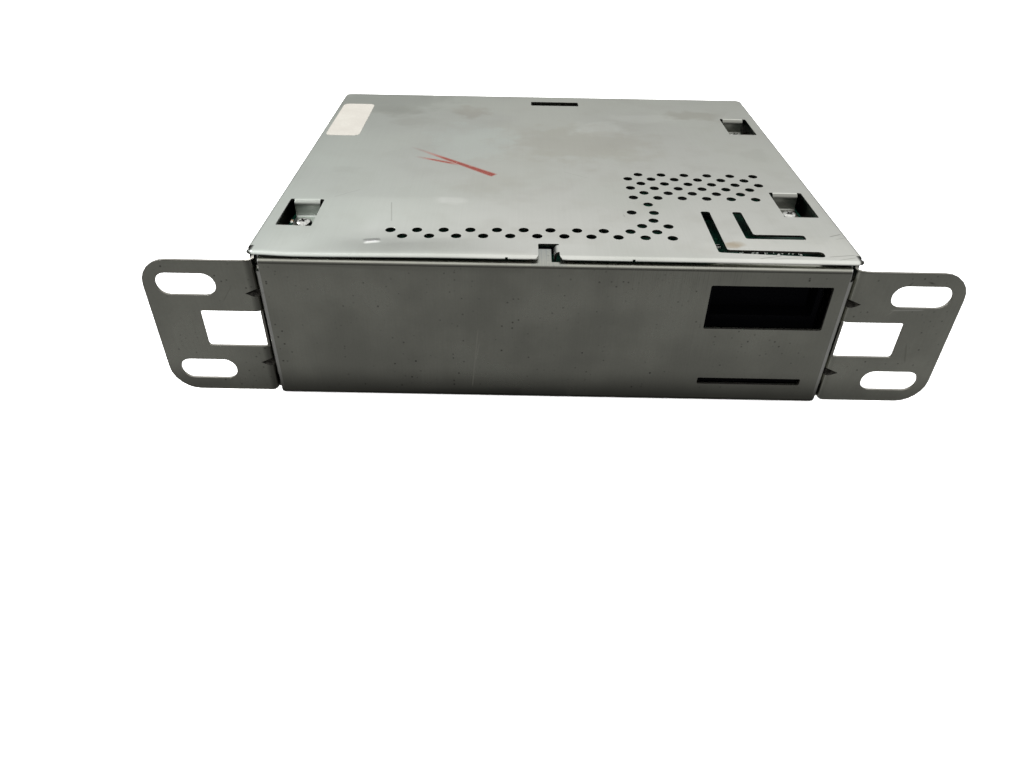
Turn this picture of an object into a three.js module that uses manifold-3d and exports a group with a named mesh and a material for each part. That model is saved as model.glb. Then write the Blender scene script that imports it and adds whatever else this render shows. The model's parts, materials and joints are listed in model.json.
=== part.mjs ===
// A hidden car radio: a folded galvanised case, one slot unit high, with a perforated lid
// and two slotted ears.
// Millimetres. X runs to the right of the front plate, Y from the front plate to the connectors, Z up.
// The pieces are drawn with Y = 0 on the front plate's face and Z = 0 under the base, and the group that
// holds them moves them so that the origin is under the middle of the whole radio.
import * as THREE from "three";
import { mergeVertices } from "three/addons/utils/BufferGeometryUtils.js";
import { ConvexGeometry } from "three/addons/geometries/ConvexGeometry.js";
import Module from "manifold-3d";

const wasm = await Module();
wasm.setup();

// Clearances shared by all the pieces.
const fit = 0.3;
const seam = 0.2;
const overrun = 2;
const weld = 1e-4;

// Lid: a shallow cap whose long side flanges hang outside the side walls.
const lidWidth = 180;
const lidDepth = 157.4;
const lidTop = 51.7;
const lidSheet = 0.7;
const lidEdgeRadius = 1.2;
const lidCornerRadius = 2.6;
const lidRimHeight = 1.4;
const lidLipHeight = 1;
const lidNickX = [-14.15, 22.7];
const lidNickWidth = 0.8;
const lidNickHeight = 0.5;
const cornerReliefLength = 2.4;
const cornerReliefDepth = 1.3;
const lidSideDrop = 10;
const lidBackDrop = 6;
const lidFlangeInset = 4.2;

// Vent holes in the lid, on one square lattice whose step is half the spacing along a row.
const ventRadius = 1.62;
const ventStep = 4.1;
const ventRowCount = 11;
const ventRowX = 35.95;
const ventRowY = 13.7;
const ventFieldX = 27.65;
const ventFieldY = 44;
const ventFieldRows = 6;
const ventFieldColumns = 6;
const ventPairX = 29.25;
const ventPairHalfSpacing = 3.6;
const ventPairY = 31.9;
const ventSingleY = 38.4;

// Cooling slots in the lid, two nested elbows.
const elbowWidth = 2.95;
const elbowBack = 33.65;
const elbowCornerRadius = 0.8;
const outerElbowFront = 4.9;
const outerElbowInset = 11;
const outerElbowLength = 30.95;
const outerElbowNarrow = 1.8;
const outerElbowDip = 2;
const outerElbowFall = 0.4;
const outerElbowEndRadius = 1.2;
const innerElbowFront = 14.25;
const innerElbowInset = 13.25;
const innerElbowLength = 18.45;

// Windows in the lid with the tongue that steps down to the board.
const windowWidth = 11;
const windowLength = 19.8;
const windowCornerRadius = 0.5;
const tongueWallInset = 8.2;
const tongueWidth = 8.4;
const tongueLength = 13.4;
const tongueBend = 0.8;
const tongueScrewInset = 9;
const leftTongueBack = 37.9;
const rightFrontTongueBack = 50.3;
const rightBackTongueBack = 129.4;

// Notch in the lid's front edge, and the lug beside it that drops into the front flange.
const notchLeft = -4.9;
const notchRight = 1.3;
const notchDepth = 8.6;
const notchMouthRadius = 1.3;
const lugBack = 7.9;
const lugFront = 3.4;
const lugDrop = 3.2;

// Plain slot near the lid's back edge.
const backSlotLeft = -5.7;
const backSlotRight = 15.2;
const backSlotFront = 143.6;
const backSlotBack = 148.9;

// Base tray: bottom, front plate, its returns and the low flanges inside the side walls.
const baseSheet = 1;
const baseBend = 1.6;
const plateTopDrop = 2.2;
const plateCornerInset = 0.8;
const plateCornerRadius = 2;
const topFlangeDepth = 5.8;
const returnDepth = 8;
const returnBottom = 7.5;
const returnTopDrop = 3.6;
const lowFlangeHeight = 9;
const lowFlangeStart = 9;
const flangeHoleLeft = -1;
const flangeHoleRight = 1.7;
const flangeHoleFront = 1.2;
const ribLength = 96;
const ribWidth = 7;
const ribHeight = 0.8;
const ribSpacing = 46;
const ribY = 78;

// Front openings: the window for the plug and the slot for the flat cable.
const frontWindowInset = 5.45;
const frontWindowWidth = 36.2;
const frontWindowDrop = 6.2;
const frontWindowHeight = 15.05;
const frontSlotInset = 7.15;
const frontSlotWidth = 33.1;
const frontSlotBottom = 7.15;
const frontSlotTop = 9.6;
const frontOpeningRadius = 0.5;

// Side walls and their ears.
const wallSheet = 0.8;
const earBend = 1.4;
const wallTopDrop = 1.8;
const earFace = 0.6;
const earReach = 122.6;
const earBottom = 1.1;
const earTopDrop = 3.5;
const earCornerRadius = 8.5;
const earFilletRadius = 2.2;
const earHeelRadius = 2;
const earSlotX = 109.8;
const earSlotInset = 8.05;
const earSlotLength = 18;
const earSlotHeight = 7.4;
const earCutReach = 107.7;
const earCutHeight = 12.8;
const earCutRadius = 1;
const gussetLeg = 4.2;
const gussetHalfHeight = 1.9;
const gussetInset = 10.9;

// Shelves lanced inwards from the side walls, which carry the main board.
const shelfReach = 12;
const shelfWidth = 9;
const shelfRelief = 0.8;
const shelfBend = 0.8;

// Boards.
const boardDrop = 6.6;
const boardSheet = 1.6;
const boardSideClearance = 1.1;
const boardFrontClearance = 1.6;
const boardBackClearance = 2.4;
const interfaceBoardY = 13;
const interfaceBoardInset = 3.1;
const interfaceBoardWidth = 40.4;
const interfaceBoardBottom = 4;

// Screws.
const screwRadius = 1.45;
const screwHoleClearance = 0.3;
const screwHeadRadius = 2.8;
const screwHeadHeight = 1.9;
const screwCrownShare = 0.6;
const screwCrossLength = 3.2;
const screwCrossWidth = 0.8;
const screwCrossDepth = 1.1;
const boardScrewLength = 5.5;
const caseScrewLength = 4;
const clampScrewLength = 5.5;
const sinkScrewLength = 7;
const sideScrewFrontY = 24;
const sideScrewHeight = 5.6;
const rearScrewHeight = 5.6;
const rearScrewInset = 14.1;
const returnScrewHeight = 30;

// Rear panel and the sockets behind it.
const rearSheet = 1;
const rearTopDrop = 2.1;
const rearBottom = 0.4;
const rearFlangeDepth = 9;
const socketClearance = 0.4;

const connectorGap = 8;
const connectorWidth = 56;
const connectorHeight = 26;
const connectorProud = 6;
const connectorLength = 24;
const connectorWall = 1.6;
const connectorChamberDepth = 14;
const connectorKey = 1.3;
const connectorKeyInset = 5;

const fuseWidth = 4.2;
const fuseHeight = 12.6;
const fuseLength = 14;
const fuseProud = 5;
const fuseSlitWidth = 0.8;
const fuseSlitDepth = 0.6;

const antennaInset = 29.1;
const antennaBlock = 14;
const antennaBlockLength = 15;
const antennaRadius = 6;
const antennaBore = 4.75;
const antennaProud = 10;
const antennaBoreDepth = 16;
const antennaContactRadius = 1.1;
const antennaContactLength = 9;
const antennaInsulator = 3;

const dataInset = 11.5;
const dataWidth = 14.4;
const dataHeight = 8.4;
const dataLength = 15;
const dataProud = 1.6;
const dataWall = 0.5;
const dataTongue = 1.6;
const dataTongueDrop = 1;
const dataInsertLength = 4;
const dataTongueLength = 7;

// Heat sink and the power amplifier pressed on it.
const sinkInset = 5.1;
const sinkWidth = 62;
const sinkBottom = 10.5;
const sinkTopDrop = 7.7;
const sinkPlate = 4;
const finCount = 10;
const finSheet = 1.6;
const finDepth = 10;
const padInset = 7.5;
const padBottom = 14;
const padTopDrop = 6;
const padProud = 3;
const padHoleDepth = 6;
const sinkScrewInset = 3.8;
const amplifierWidth = 29;
const amplifierHeight = 15.8;
const amplifierSheet = 4.5;
const amplifierDrop = 25.2;
const amplifierLeadCount = 13;
const amplifierLeadWidth = 0.7;
const clampSheet = 1;
const clampHeight = 8;
const clampInset = 0.6;
const clampBend = 0.6;

// Parts on the boards.
const processorX = 50;
const processorY = 54;
const processorSize = 24;
const processorHeight = 2.2;
const memoryX = 29;
const memoryY = 43.5;
const memoryWidth = 9;
const memoryLength = 13;
const memoryHeight = 1.1;
const memorySpacing = 17;
const tunerLeft = 28;
const tunerRight = 72;
const tunerFront = 92;
const tunerBack = 134;
const tunerHeight = 13;
const tunerSheet = 0.6;
const tunerSeam = 0.4;
const tunerSeamInset = 3;
const tunerCornerRadius = 1.4;
const capacitorRadius = 6.5;
const capacitorLength = 26;
const capacitorX = -64;
const capacitorY = 118;
const capacitorSpacing = 15.5;
const capacitorCount = 3;
const capacitorNeckInset = 2.6;
const capacitorNeckDepth = 0.6;
const capacitorEdge = 0.8;
const chokeX = -12;
const chokeY = 118;
const chokeSize = 19;
const chokeHeight = 15;
const audioChipX = -10;
const audioChipY = 62;
const audioChipSize = 16;
const audioChipHeight = 1.6;
const chipBevel = 0.5;
const wirelessX = -50;
const wirelessY = 44;
const wirelessWidth = 22;
const wirelessLength = 16;
const wirelessHeight = 3;
const plugRecess = 5;
const plugFootDrop = 8;
const plugWall = 1.6;
const plugCavity = 6;
const ribbonRecess = 4;
const ribbonHeight = 5.6;
const ribbonMouth = 1.7;
const ribbonDepth = 4;
const headerInset = 5;
const headerDepth = 2.6;
const headerHeight = 6;

// Places that follow from the sizes above.
const lidHalf = lidWidth / 2;
const wallOuter = lidHalf - lidSheet - seam;
const wallInner = wallOuter - wallSheet;
const plateHalf = wallInner - seam;
const rearFace = lidDepth - lidSheet - fit;
const wallBack = rearFace;
const baseBack = rearFace - rearSheet - fit;
const plateTop = lidTop - plateTopDrop;
const returnTop = plateTop - returnTopDrop;
const frontWindowTop = plateTop - frontWindowDrop;
const frontWindowBottom = frontWindowTop - frontWindowHeight;
const wallTop = lidTop - wallTopDrop;
const earTop = lidTop - earTopDrop;
const rearTop = lidTop - rearTopDrop;
const boardTop = lidTop - boardDrop;
const boardBottom = boardTop - boardSheet;
const shelfTop = boardBottom - fit;
const footTop = boardTop + fit + lidSheet;
const tongueX = wallInner - tongueWallInset;
const outerElbowEnd = lidHalf - outerElbowInset;
const outerElbowX = outerElbowEnd - outerElbowLength;
const innerElbowEnd = lidHalf - innerElbowInset;
const innerElbowX = innerElbowEnd - innerElbowLength;
const frontWindowRight = plateHalf - frontWindowInset;
const frontWindowLeft = frontWindowRight - frontWindowWidth;
const frontSlotRight = plateHalf - frontSlotInset;
const frontSlotLeft = frontSlotRight - frontSlotWidth;
const mainBoardHalfWidth = plateHalf - baseSheet - boardSideClearance;
const mainBoardFront = baseSheet + boardFrontClearance;
const mainBoardBack = rearFace - rearSheet - boardBackClearance;
const interfaceBoardRight = plateHalf - interfaceBoardInset;
const interfaceBoardLeft = interfaceBoardRight - interfaceBoardWidth;
const headerLeft = interfaceBoardLeft + headerInset;
const headerRight = interfaceBoardRight - headerInset;
const sinkFace = rearFace + fit + sinkPlate;
const overallDepth = sinkFace + finDepth;
const earMiddle = (earTop + earBottom) / 2;
const screwHoleRadius = screwRadius + screwHoleClearance;
const hangTop = boardBottom - fit;
const amplifierBottom = hangTop - amplifierDrop;
const returnScrewY = rearFace - rearFlangeDepth / 2;
const rearScrewX = plateHalf - rearScrewInset;
const antennaX = plateHalf - antennaInset;
const dataX = plateHalf - dataInset;
const connectorRight = antennaX - antennaBlock / 2 - connectorGap;
const connectorLeft = connectorRight - connectorWidth;
const connectorBottom = hangTop - connectorHeight;
const connectorBack = rearFace + connectorProud;
const antennaZ = hangTop - antennaBlock / 2;
const antennaBack = rearFace + antennaProud;
const antennaBoreEnd = antennaBack - antennaBoreDepth;
const dataBottom = hangTop - dataHeight;
const dataBack = rearFace + dataProud;
const sinkLeft = sinkInset - plateHalf;
const sinkRight = sinkLeft + sinkWidth;
const padLeft = sinkLeft + padInset;
const padRight = sinkRight - padInset;
const padFace = rearFace - rearSheet - padProud;
const sinkTop = lidTop - sinkTopDrop;
const padTop = sinkTop - padTopDrop;
const padMiddleX = (padLeft + padRight) / 2;
const padMiddleZ = (padBottom + padTop) / 2;
const amplifierFace = padFace - fit - amplifierSheet;
const clampHalf = (padRight - padLeft) / 2 - clampInset;
const clampStep = amplifierWidth / 2 + fit + clampSheet;
const clampScrewX = (clampHalf + clampStep) / 2;
const sinkScrewX = [sinkLeft + sinkScrewInset, sinkRight - sinkScrewInset];

// Smoothness of round edges.
const holeSides = 12;
const bendSteps = 4;
const cornerSteps = 3;
const slotSteps = 6;
const roundSides = 24;
const screwSides = 10;

const looks = {
  steel: { color: 0xb9bcb6, roughness: 0.42, metalness: 0.9 },
  lidSteel: { color: 0xc2c4bd, roughness: 0.38, metalness: 0.9 },
  aluminium: { color: 0xa9abae, roughness: 0.5, metalness: 0.9 },
  screwSteel: { color: 0xd0d1cf, roughness: 0.25, metalness: 1 },
  spring: { color: 0x8f9193, roughness: 0.35, metalness: 0.9 },
  board: { color: 0x124a35, roughness: 0.45, metalness: 0 },
  blackPlastic: { color: 0x17181a, roughness: 0.55, metalness: 0 },
  chip: { color: 0x1d1e20, roughness: 0.6, metalness: 0 },
  tin: { color: 0xc9cac6, roughness: 0.3, metalness: 0.9 },
  sleeve: { color: 0x23262c, roughness: 0.4, metalness: 0 },
  insulator: { color: 0xe4e0d4, roughness: 0.5, metalness: 0 },
  brass: { color: 0xc4a25c, roughness: 0.3, metalness: 1 },
  fuseRed: { color: 0xa82a22, roughness: 0.35, metalness: 0 },
};

// A closed three.js geometry as a solid that can be joined and cut.
function solid(geometry) {
  const bare = geometry.index ? geometry.toNonIndexed() : geometry.clone();
  for (const name of Object.keys(bare.attributes)) {
    if (name !== "position") bare.deleteAttribute(name);
  }
  const merged = mergeVertices(bare, weld);
  return new wasm.Manifold(
    new wasm.Mesh({
      numProp: 3,
      vertProperties: new Float32Array(merged.attributes.position.array),
      triVerts: new Uint32Array(merged.index.array),
    }),
  );
}

// A solid as a three.js geometry with flat faces.
function geometryOf(made) {
  const mesh = made.getMesh();
  const geometry = new THREE.BufferGeometry();
  geometry.setAttribute("position", new THREE.BufferAttribute(mesh.vertProperties, 3));
  geometry.setIndex(new THREE.BufferAttribute(mesh.triVerts, 1));
  const flat = geometry.toNonIndexed();
  flat.computeVertexNormals();
  return flat;
}

function joined(...pieces) {
  return pieces.flat().reduce((all, next) => all.add(next));
}

function without(body, ...cutters) {
  return cutters.flat().reduce((left, cutter) => left.subtract(cutter), body);
}

// A block between two corners.
function block(x0, x1, y0, y1, z0, z1) {
  const geometry = new THREE.BoxGeometry(x1 - x0, y1 - y0, z1 - z0);
  return solid(geometry.translate((x0 + x1) / 2, (y0 + y1) / 2, (z0 + z1) / 2));
}

// A closed outline through the corners [u, v, radius], each rounded by its own radius.
function rounded(corners, steps = cornerSteps) {
  const points = [];
  corners.forEach(([u, v, radius = 0], i) => {
    const here = new THREE.Vector2(u, v);
    const before = new THREE.Vector2(...corners.at(i - 1).slice(0, 2));
    const after = new THREE.Vector2(...corners[(i + 1) % corners.length].slice(0, 2));
    if (!radius) {
      points.push(here);
      return;
    }
    const back = before.sub(here).normalize();
    const ahead = after.sub(here).normalize();
    const half = Math.acos(THREE.MathUtils.clamp(back.dot(ahead), -1, 1)) / 2;
    const middle = back.clone().add(ahead).normalize();
    const centre = here.clone().addScaledVector(middle, radius / Math.sin(half));
    const start = here.clone().addScaledVector(back, radius / Math.tan(half)).sub(centre);
    const end = here.clone().addScaledVector(ahead, radius / Math.tan(half)).sub(centre);
    const turn = Math.atan2(start.cross(end), start.dot(end));
    for (let step = 0; step <= steps; step++) {
      const arm = start.clone().rotateAround(new THREE.Vector2(), (turn * step) / steps);
      points.push(centre.clone().add(arm));
    }
  });
  return points;
}

function rectangle(u0, u1, v0, v1, radius = 0) {
  return [[u0, v0, radius], [u1, v0, radius], [u1, v1, radius], [u0, v1, radius]];
}

function extruded(points, depth) {
  return new THREE.ExtrudeGeometry(new THREE.Shape(points), { depth, bevelEnabled: false });
}

// An outline in X and Y, raised between two heights.
function upright(points, z0, z1) {
  return solid(extruded(points, z1 - z0).translate(0, 0, z0));
}

// An outline in X and Z, drawn out between two places along Y.
function frontal(points, y0, y1) {
  const geometry = extruded(points, y1 - y0);
  return solid(geometry.rotateX(Math.PI / 2).translate(0, y1, 0));
}

// An outline in Y and Z, drawn out between two places along X.
function sideways(points, x0, x1) {
  const geometry = extruded(points, x1 - x0);
  const turn = new THREE.Matrix4().makeBasis(
    new THREE.Vector3(0, 1, 0), new THREE.Vector3(0, 0, 1), new THREE.Vector3(1, 0, 0),
  );
  return solid(geometry.applyMatrix4(turn).translate(x0, 0, 0));
}

// A round bar along Z, X or Y.
function bar(radius, length, sides = roundSides) {
  return new THREE.CylinderGeometry(radius, radius, length, sides).rotateX(Math.PI / 2);
}

function barUp(x, y, radius, z0, z1, sides) {
  return solid(bar(radius, z1 - z0, sides).translate(x, y, (z0 + z1) / 2));
}

function barBack(x, z, radius, y0, y1, sides) {
  return solid(bar(radius, y1 - y0, sides).rotateX(Math.PI / 2).translate(x, (y0 + y1) / 2, z));
}

function barAcross(y, z, radius, x0, x1, sides) {
  return solid(bar(radius, x1 - x0, sides).rotateY(Math.PI / 2).translate((x0 + x1) / 2, y, z));
}

// The same solid on the other side of the radio.
function mirrored(made) {
  return made.mirror([1, 0, 0]);
}

// A rounded block whose upper edges are rounded too, as a drawn sheet's are.
function cap(halfWidth, y0, y1, bottom, top, cornerRadius, edgeRadius) {
  const inner = rounded(
    rectangle(
      -halfWidth + edgeRadius, halfWidth - edgeRadius, y0 + edgeRadius, y1 - edgeRadius,
      cornerRadius - edgeRadius,
    ),
  );
  const geometry = new THREE.ExtrudeGeometry(new THREE.Shape(inner), {
    depth: top - bottom,
    bevelEnabled: true,
    bevelThickness: edgeRadius,
    bevelSize: edgeRadius,
    bevelSegments: bendSteps,
  });
  const whole = solid(geometry.translate(0, 0, bottom - edgeRadius));
  const below = block(
    -halfWidth - overrun, halfWidth + overrun, y0 - overrun, y1 + overrun,
    bottom - edgeRadius - overrun, bottom,
  );
  return whole.subtract(below);
}

// The tongue of a lid window: down from the window's back edge, then forward as a foot.
function tongue(x, back) {
  const face = back - tongueBend - lidSheet;
  const outer = tongueBend + lidSheet;
  const profile = rounded(
    [
      [back + lidSheet, lidTop], [face, lidTop, outer], [face, footTop, tongueBend],
      [back - tongueLength, footTop], [back - tongueLength, footTop - lidSheet],
      [face + lidSheet, footTop - lidSheet, outer], [face + lidSheet, lidTop - lidSheet, tongueBend],
      [back + lidSheet, lidTop - lidSheet],
    ],
    bendSteps,
  );
  const strip = sideways(profile, x - tongueWidth / 2, x + tongueWidth / 2);
  const trim = rounded(
    rectangle(
      x - tongueWidth / 2, x + tongueWidth / 2, back - tongueLength, back + 2 * overrun,
      tongueBend,
    ),
  );
  const hole = barUp(
    x, back - tongueScrewInset, screwHoleRadius, footTop - lidSheet - overrun, footTop + overrun, holeSides,
  );
  return strip.intersect(upright(trim, footTop - overrun, lidTop)).subtract(hole);
}

function lidWindow(x, back) {
  const outline = rounded(
    rectangle(
      x - windowWidth / 2, x + windowWidth / 2, back - windowLength, back, windowCornerRadius,
    ),
  );
  return upright(outline, lidTop - lidSheet - overrun, lidTop + overrun);
}

// The three places where a tongue, a board screw and a shelf line up.
const boardFixings = [
  { side: -1, back: leftTongueBack },
  { side: 1, back: rightFrontTongueBack },
  { side: 1, back: rightBackTongueBack },
].map(({ side, back }) => ({
  side,
  back,
  x: side * tongueX,
  y: back - tongueScrewInset,
}));

function ventCentres() {
  const centres = [];
  for (let i = 0; i < ventRowCount; i++) {
    centres.push([ventRowX - 2 * ventStep * i, ventRowY]);
    centres.push([ventRowX - ventStep - 2 * ventStep * i, ventRowY + ventStep]);
  }
  centres.push([ventRowX, ventRowY + 2 * ventStep]);
  centres.push([ventRowX - 2 * ventStep, ventRowY + 2 * ventStep]);
  centres.push([ventRowX - ventStep, ventRowY + 3 * ventStep]);
  centres.push([ventPairX - ventPairHalfSpacing, ventPairY]);
  centres.push([ventPairX + ventPairHalfSpacing, ventPairY]);
  centres.push([ventRowX - ventStep, ventSingleY]);
  for (let row = 0; row < ventFieldRows; row++) {
    const shift = (row % 2) * ventStep;
    const missing = row === 1 ? 1 : 0;
    for (let column = 0; column < ventFieldColumns - missing; column++) {
      centres.push([ventFieldX + shift + 2 * ventStep * column, ventFieldY + ventStep * row]);
    }
  }
  return centres;
}

function lid() {
  const under = lidTop - lidSheet;
  const lip = lidTop - lidLipHeight;
  const shell = cap(lidHalf, 0, lidDepth, lidTop - lidRimHeight, lidTop, lidCornerRadius, lidEdgeRadius)
    .subtract(
      cap(
        lidHalf - lidSheet, lidSheet, lidDepth - lidSheet, lidTop - lidRimHeight - overrun, under,
        lidCornerRadius - lidSheet, lidEdgeRadius - lidSheet,
      ),
    );
  const sideFlange = block(
    lidHalf - lidSheet, lidHalf, lidFlangeInset, lidDepth - lidFlangeInset,
    lidTop - lidSideDrop, lidTop - lidEdgeRadius,
  );
  const backFlange = block(
    -lidHalf + lidFlangeInset, lidHalf - lidFlangeInset, lidDepth - lidSheet, lidDepth,
    lidTop - lidBackDrop, lidTop - lidEdgeRadius,
  );
  const lipTrim = block(
    -lidHalf - overrun, lidHalf + overrun, -overrun, lidFlangeInset - cornerReliefLength,
    lip - overrun, lip,
  );
  const nicks = lidNickX.map((x) => block(
    x - lidNickWidth / 2, x + lidNickWidth / 2, -overrun, lidEdgeRadius, lip - overrun, lip + lidNickHeight,
  ));
  const relief = upright(
    rounded(
      rectangle(
        lidHalf - cornerReliefDepth, lidHalf + overrun, lidFlangeInset - cornerReliefLength, lidFlangeInset,
        windowCornerRadius,
      ),
    ), lip - overrun, lidTop + overrun,
  );
  const through = [under - overrun, lidTop + overrun];
  const vents = ventCentres().map(([x, y]) => barUp(x, y, ventRadius, ...through, holeSides));
  const outerElbow = rounded(
    [
      [outerElbowX, elbowBack, elbowCornerRadius], [outerElbowX, outerElbowFront, elbowCornerRadius],
      [outerElbowEnd, outerElbowFront - outerElbowDip, outerElbowEndRadius],
      [outerElbowEnd, outerElbowFront + outerElbowNarrow - outerElbowFall, outerElbowEndRadius],
      [outerElbowX + elbowWidth, outerElbowFront + outerElbowNarrow, elbowCornerRadius],
      [outerElbowX + elbowWidth, elbowBack, elbowCornerRadius],
    ],
  );
  const innerElbow = rounded(
    [
      [innerElbowX, elbowBack, elbowCornerRadius], [innerElbowX, innerElbowFront, elbowCornerRadius],
      [innerElbowEnd, innerElbowFront, elbowCornerRadius],
      [innerElbowEnd, innerElbowFront + elbowWidth, elbowCornerRadius],
      [innerElbowX + elbowWidth, innerElbowFront + elbowWidth, elbowCornerRadius],
      [innerElbowX + elbowWidth, elbowBack, elbowCornerRadius],
    ],
  );
  const backSlot = rounded(
    rectangle(backSlotLeft, backSlotRight, backSlotFront, backSlotBack, windowCornerRadius),
  );
  const notch = rounded(
    [
      [notchLeft - 2 * notchMouthRadius, -overrun], [notchRight + 2 * notchMouthRadius, -overrun],
      [notchRight + 2 * notchMouthRadius, 0], [notchRight, 0, notchMouthRadius],
      [notchRight, notchDepth, windowCornerRadius], [notchLeft, notchDepth, windowCornerRadius],
      [notchLeft, 0, notchMouthRadius], [notchLeft - 2 * notchMouthRadius, 0],
    ],
  );
  const lugOuter = tongueBend + lidSheet;
  const lug = rounded(
    [
      [notchRight + lidSheet, lidTop], [notchRight - lugOuter, lidTop, lugOuter],
      [notchRight - lugOuter, lidTop - lugDrop], [notchRight - tongueBend, lidTop - lugDrop],
      [notchRight - tongueBend, under, tongueBend], [notchRight + lidSheet, under],
    ],
    bendSteps,
  );
  return joined(
    without(
      joined(shell, sideFlange, mirrored(sideFlange), backFlange),
      lipTrim, nicks, relief, mirrored(relief), vents,
      upright(outerElbow, ...through),
      upright(innerElbow, ...through),
      upright(backSlot, ...through),
      upright(notch, under - 2 * overrun, lidTop + overrun),
      boardFixings.map(({ x, back }) => lidWindow(x, back)),
    ),
    boardFixings.map(({ x, back }) => tongue(x, back)),
    frontal(lug, lugFront, lugBack),
  );
}

function baseTray() {
  const inner = baseBend - baseSheet;
  const lengthwise = rounded(
    [
      [topFlangeDepth, plateTop], [0, plateTop, baseBend], [0, 0, baseBend],
      [baseBack, 0, baseBend], [baseBack, lowFlangeHeight],
      [baseBack - baseSheet, lowFlangeHeight], [baseBack - baseSheet, baseSheet, inner],
      [baseSheet, baseSheet, inner], [baseSheet, plateTop - baseSheet, inner],
      [topFlangeDepth, plateTop - baseSheet],
    ],
    bendSteps,
  );
  const half = plateHalf - plateCornerInset;
  const frontOutline = rounded([
    [-half, 0, plateCornerRadius], [half, 0, plateCornerRadius],
    [half, plateTop, 0], [-half, plateTop, 0],
  ]);
  const frame = sideways(lengthwise, -half, half)
    .intersect(frontal(frontOutline, -overrun, baseBack + overrun));
  const returns = rounded(
    [
      [-plateHalf, returnDepth], [-plateHalf, 0, baseBend], [plateHalf, 0, baseBend],
      [plateHalf, returnDepth], [plateHalf - baseSheet, returnDepth],
      [plateHalf - baseSheet, baseSheet, inner], [-plateHalf + baseSheet, baseSheet, inner],
      [-plateHalf + baseSheet, returnDepth],
    ],
    bendSteps,
  );
  const crosswise = rounded(
    [
      [-plateHalf, lowFlangeHeight], [-plateHalf, 0, baseBend], [plateHalf, 0, baseBend],
      [plateHalf, lowFlangeHeight], [plateHalf - baseSheet, lowFlangeHeight],
      [plateHalf - baseSheet, baseSheet, inner], [-plateHalf + baseSheet, baseSheet, inner],
      [-plateHalf + baseSheet, lowFlangeHeight],
    ],
    bendSteps,
  );
  const ribs = [-1, 0, 1].map((k) => {
    const x = k * ribSpacing;
    const ends = [ribY - ribLength / 2, ribY + ribLength / 2];
    const raised = rounded(
      rectangle(x - ribWidth / 2, x + ribWidth / 2, ...ends, ribWidth / 2), slotSteps,
    );
    const pressed = rounded(
      rectangle(
        x - ribWidth / 2 + baseSheet, x + ribWidth / 2 - baseSheet, ends[0] + baseSheet,
        ends[1] - baseSheet, ribWidth / 2 - baseSheet,
      ), slotSteps,
    );
    return {
      raised: upright(raised, baseSheet / 2, baseSheet + ribHeight),
      pressed: upright(pressed, -overrun, ribHeight),
    };
  });
  const window = rounded(
    rectangle(frontWindowLeft, frontWindowRight, frontWindowBottom, frontWindowTop, frontOpeningRadius),
  );
  const slot = rounded(
    rectangle(frontSlotLeft, frontSlotRight, frontSlotBottom, frontSlotTop, frontOpeningRadius),
  );
  const lowHoles = [-1, 1].map((side) => barAcross(
    sideScrewFrontY, sideScrewHeight, screwHoleRadius,
    side * (plateHalf - baseSheet / 2) - overrun, side * (plateHalf - baseSheet / 2) + overrun, holeSides,
  ));
  const rearHoles = [-1, 1].map((side) => barBack(
    side * rearScrewX, rearScrewHeight, screwHoleRadius, baseBack - overrun, baseBack + overrun, holeSides,
  ));
  return without(
    joined(
      frame, upright(returns, returnBottom, returnTop),
      frontal(crosswise, lowFlangeStart, baseBack - lowFlangeStart),
      ribs.map(({ raised }) => raised),
    ),
    ribs.map(({ pressed }) => pressed),
    frontal(window, -overrun, baseSheet + overrun),
    frontal(slot, -overrun, baseSheet + overrun),
    block(
      flangeHoleLeft, flangeHoleRight, flangeHoleFront, topFlangeDepth + overrun,
      plateTop - overrun, plateTop + overrun,
    ),
    lowHoles, rearHoles,
  );
}

// A four-faced pit or web in the corner of a bend, with legs along both sheets.
function cornerWedge(x, y, z, leg, halfHeight) {
  return solid(new ConvexGeometry([
    new THREE.Vector3(x + leg, y, z), new THREE.Vector3(x, y + leg, z),
    new THREE.Vector3(x, y, z + halfHeight), new THREE.Vector3(x, y, z - halfHeight),
  ]));
}

// A shelf lanced out of the wall and bent inwards, with the hole it leaves below.
function shelf(y) {
  const outer = shelfBend + wallSheet;
  const profile = rounded(
    [
      [wallOuter, shelfTop + 2 * outer], [wallInner, shelfTop + 2 * outer],
      [wallInner, shelfTop, shelfBend], [wallInner - shelfReach, shelfTop],
      [wallInner - shelfReach, shelfTop - wallSheet], [wallOuter, shelfTop - wallSheet, outer],
    ],
    bendSteps,
  );
  const hole = barUp(tongueX, y, screwHoleRadius, shelfTop - overrun, shelfTop + overrun, holeSides);
  const half = shelfWidth / 2;
  const opening = rounded(
    rectangle(
      y - half - shelfRelief, y + half + shelfRelief,
      shelfTop - wallSheet - shelfReach, shelfTop + shelfBend, shelfRelief / 2,
    ),
  );
  return {
    strip: frontal(profile, y - half, y + half).subtract(hole),
    opening: sideways(opening, wallInner - overrun, wallOuter + overrun),
  };
}

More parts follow.
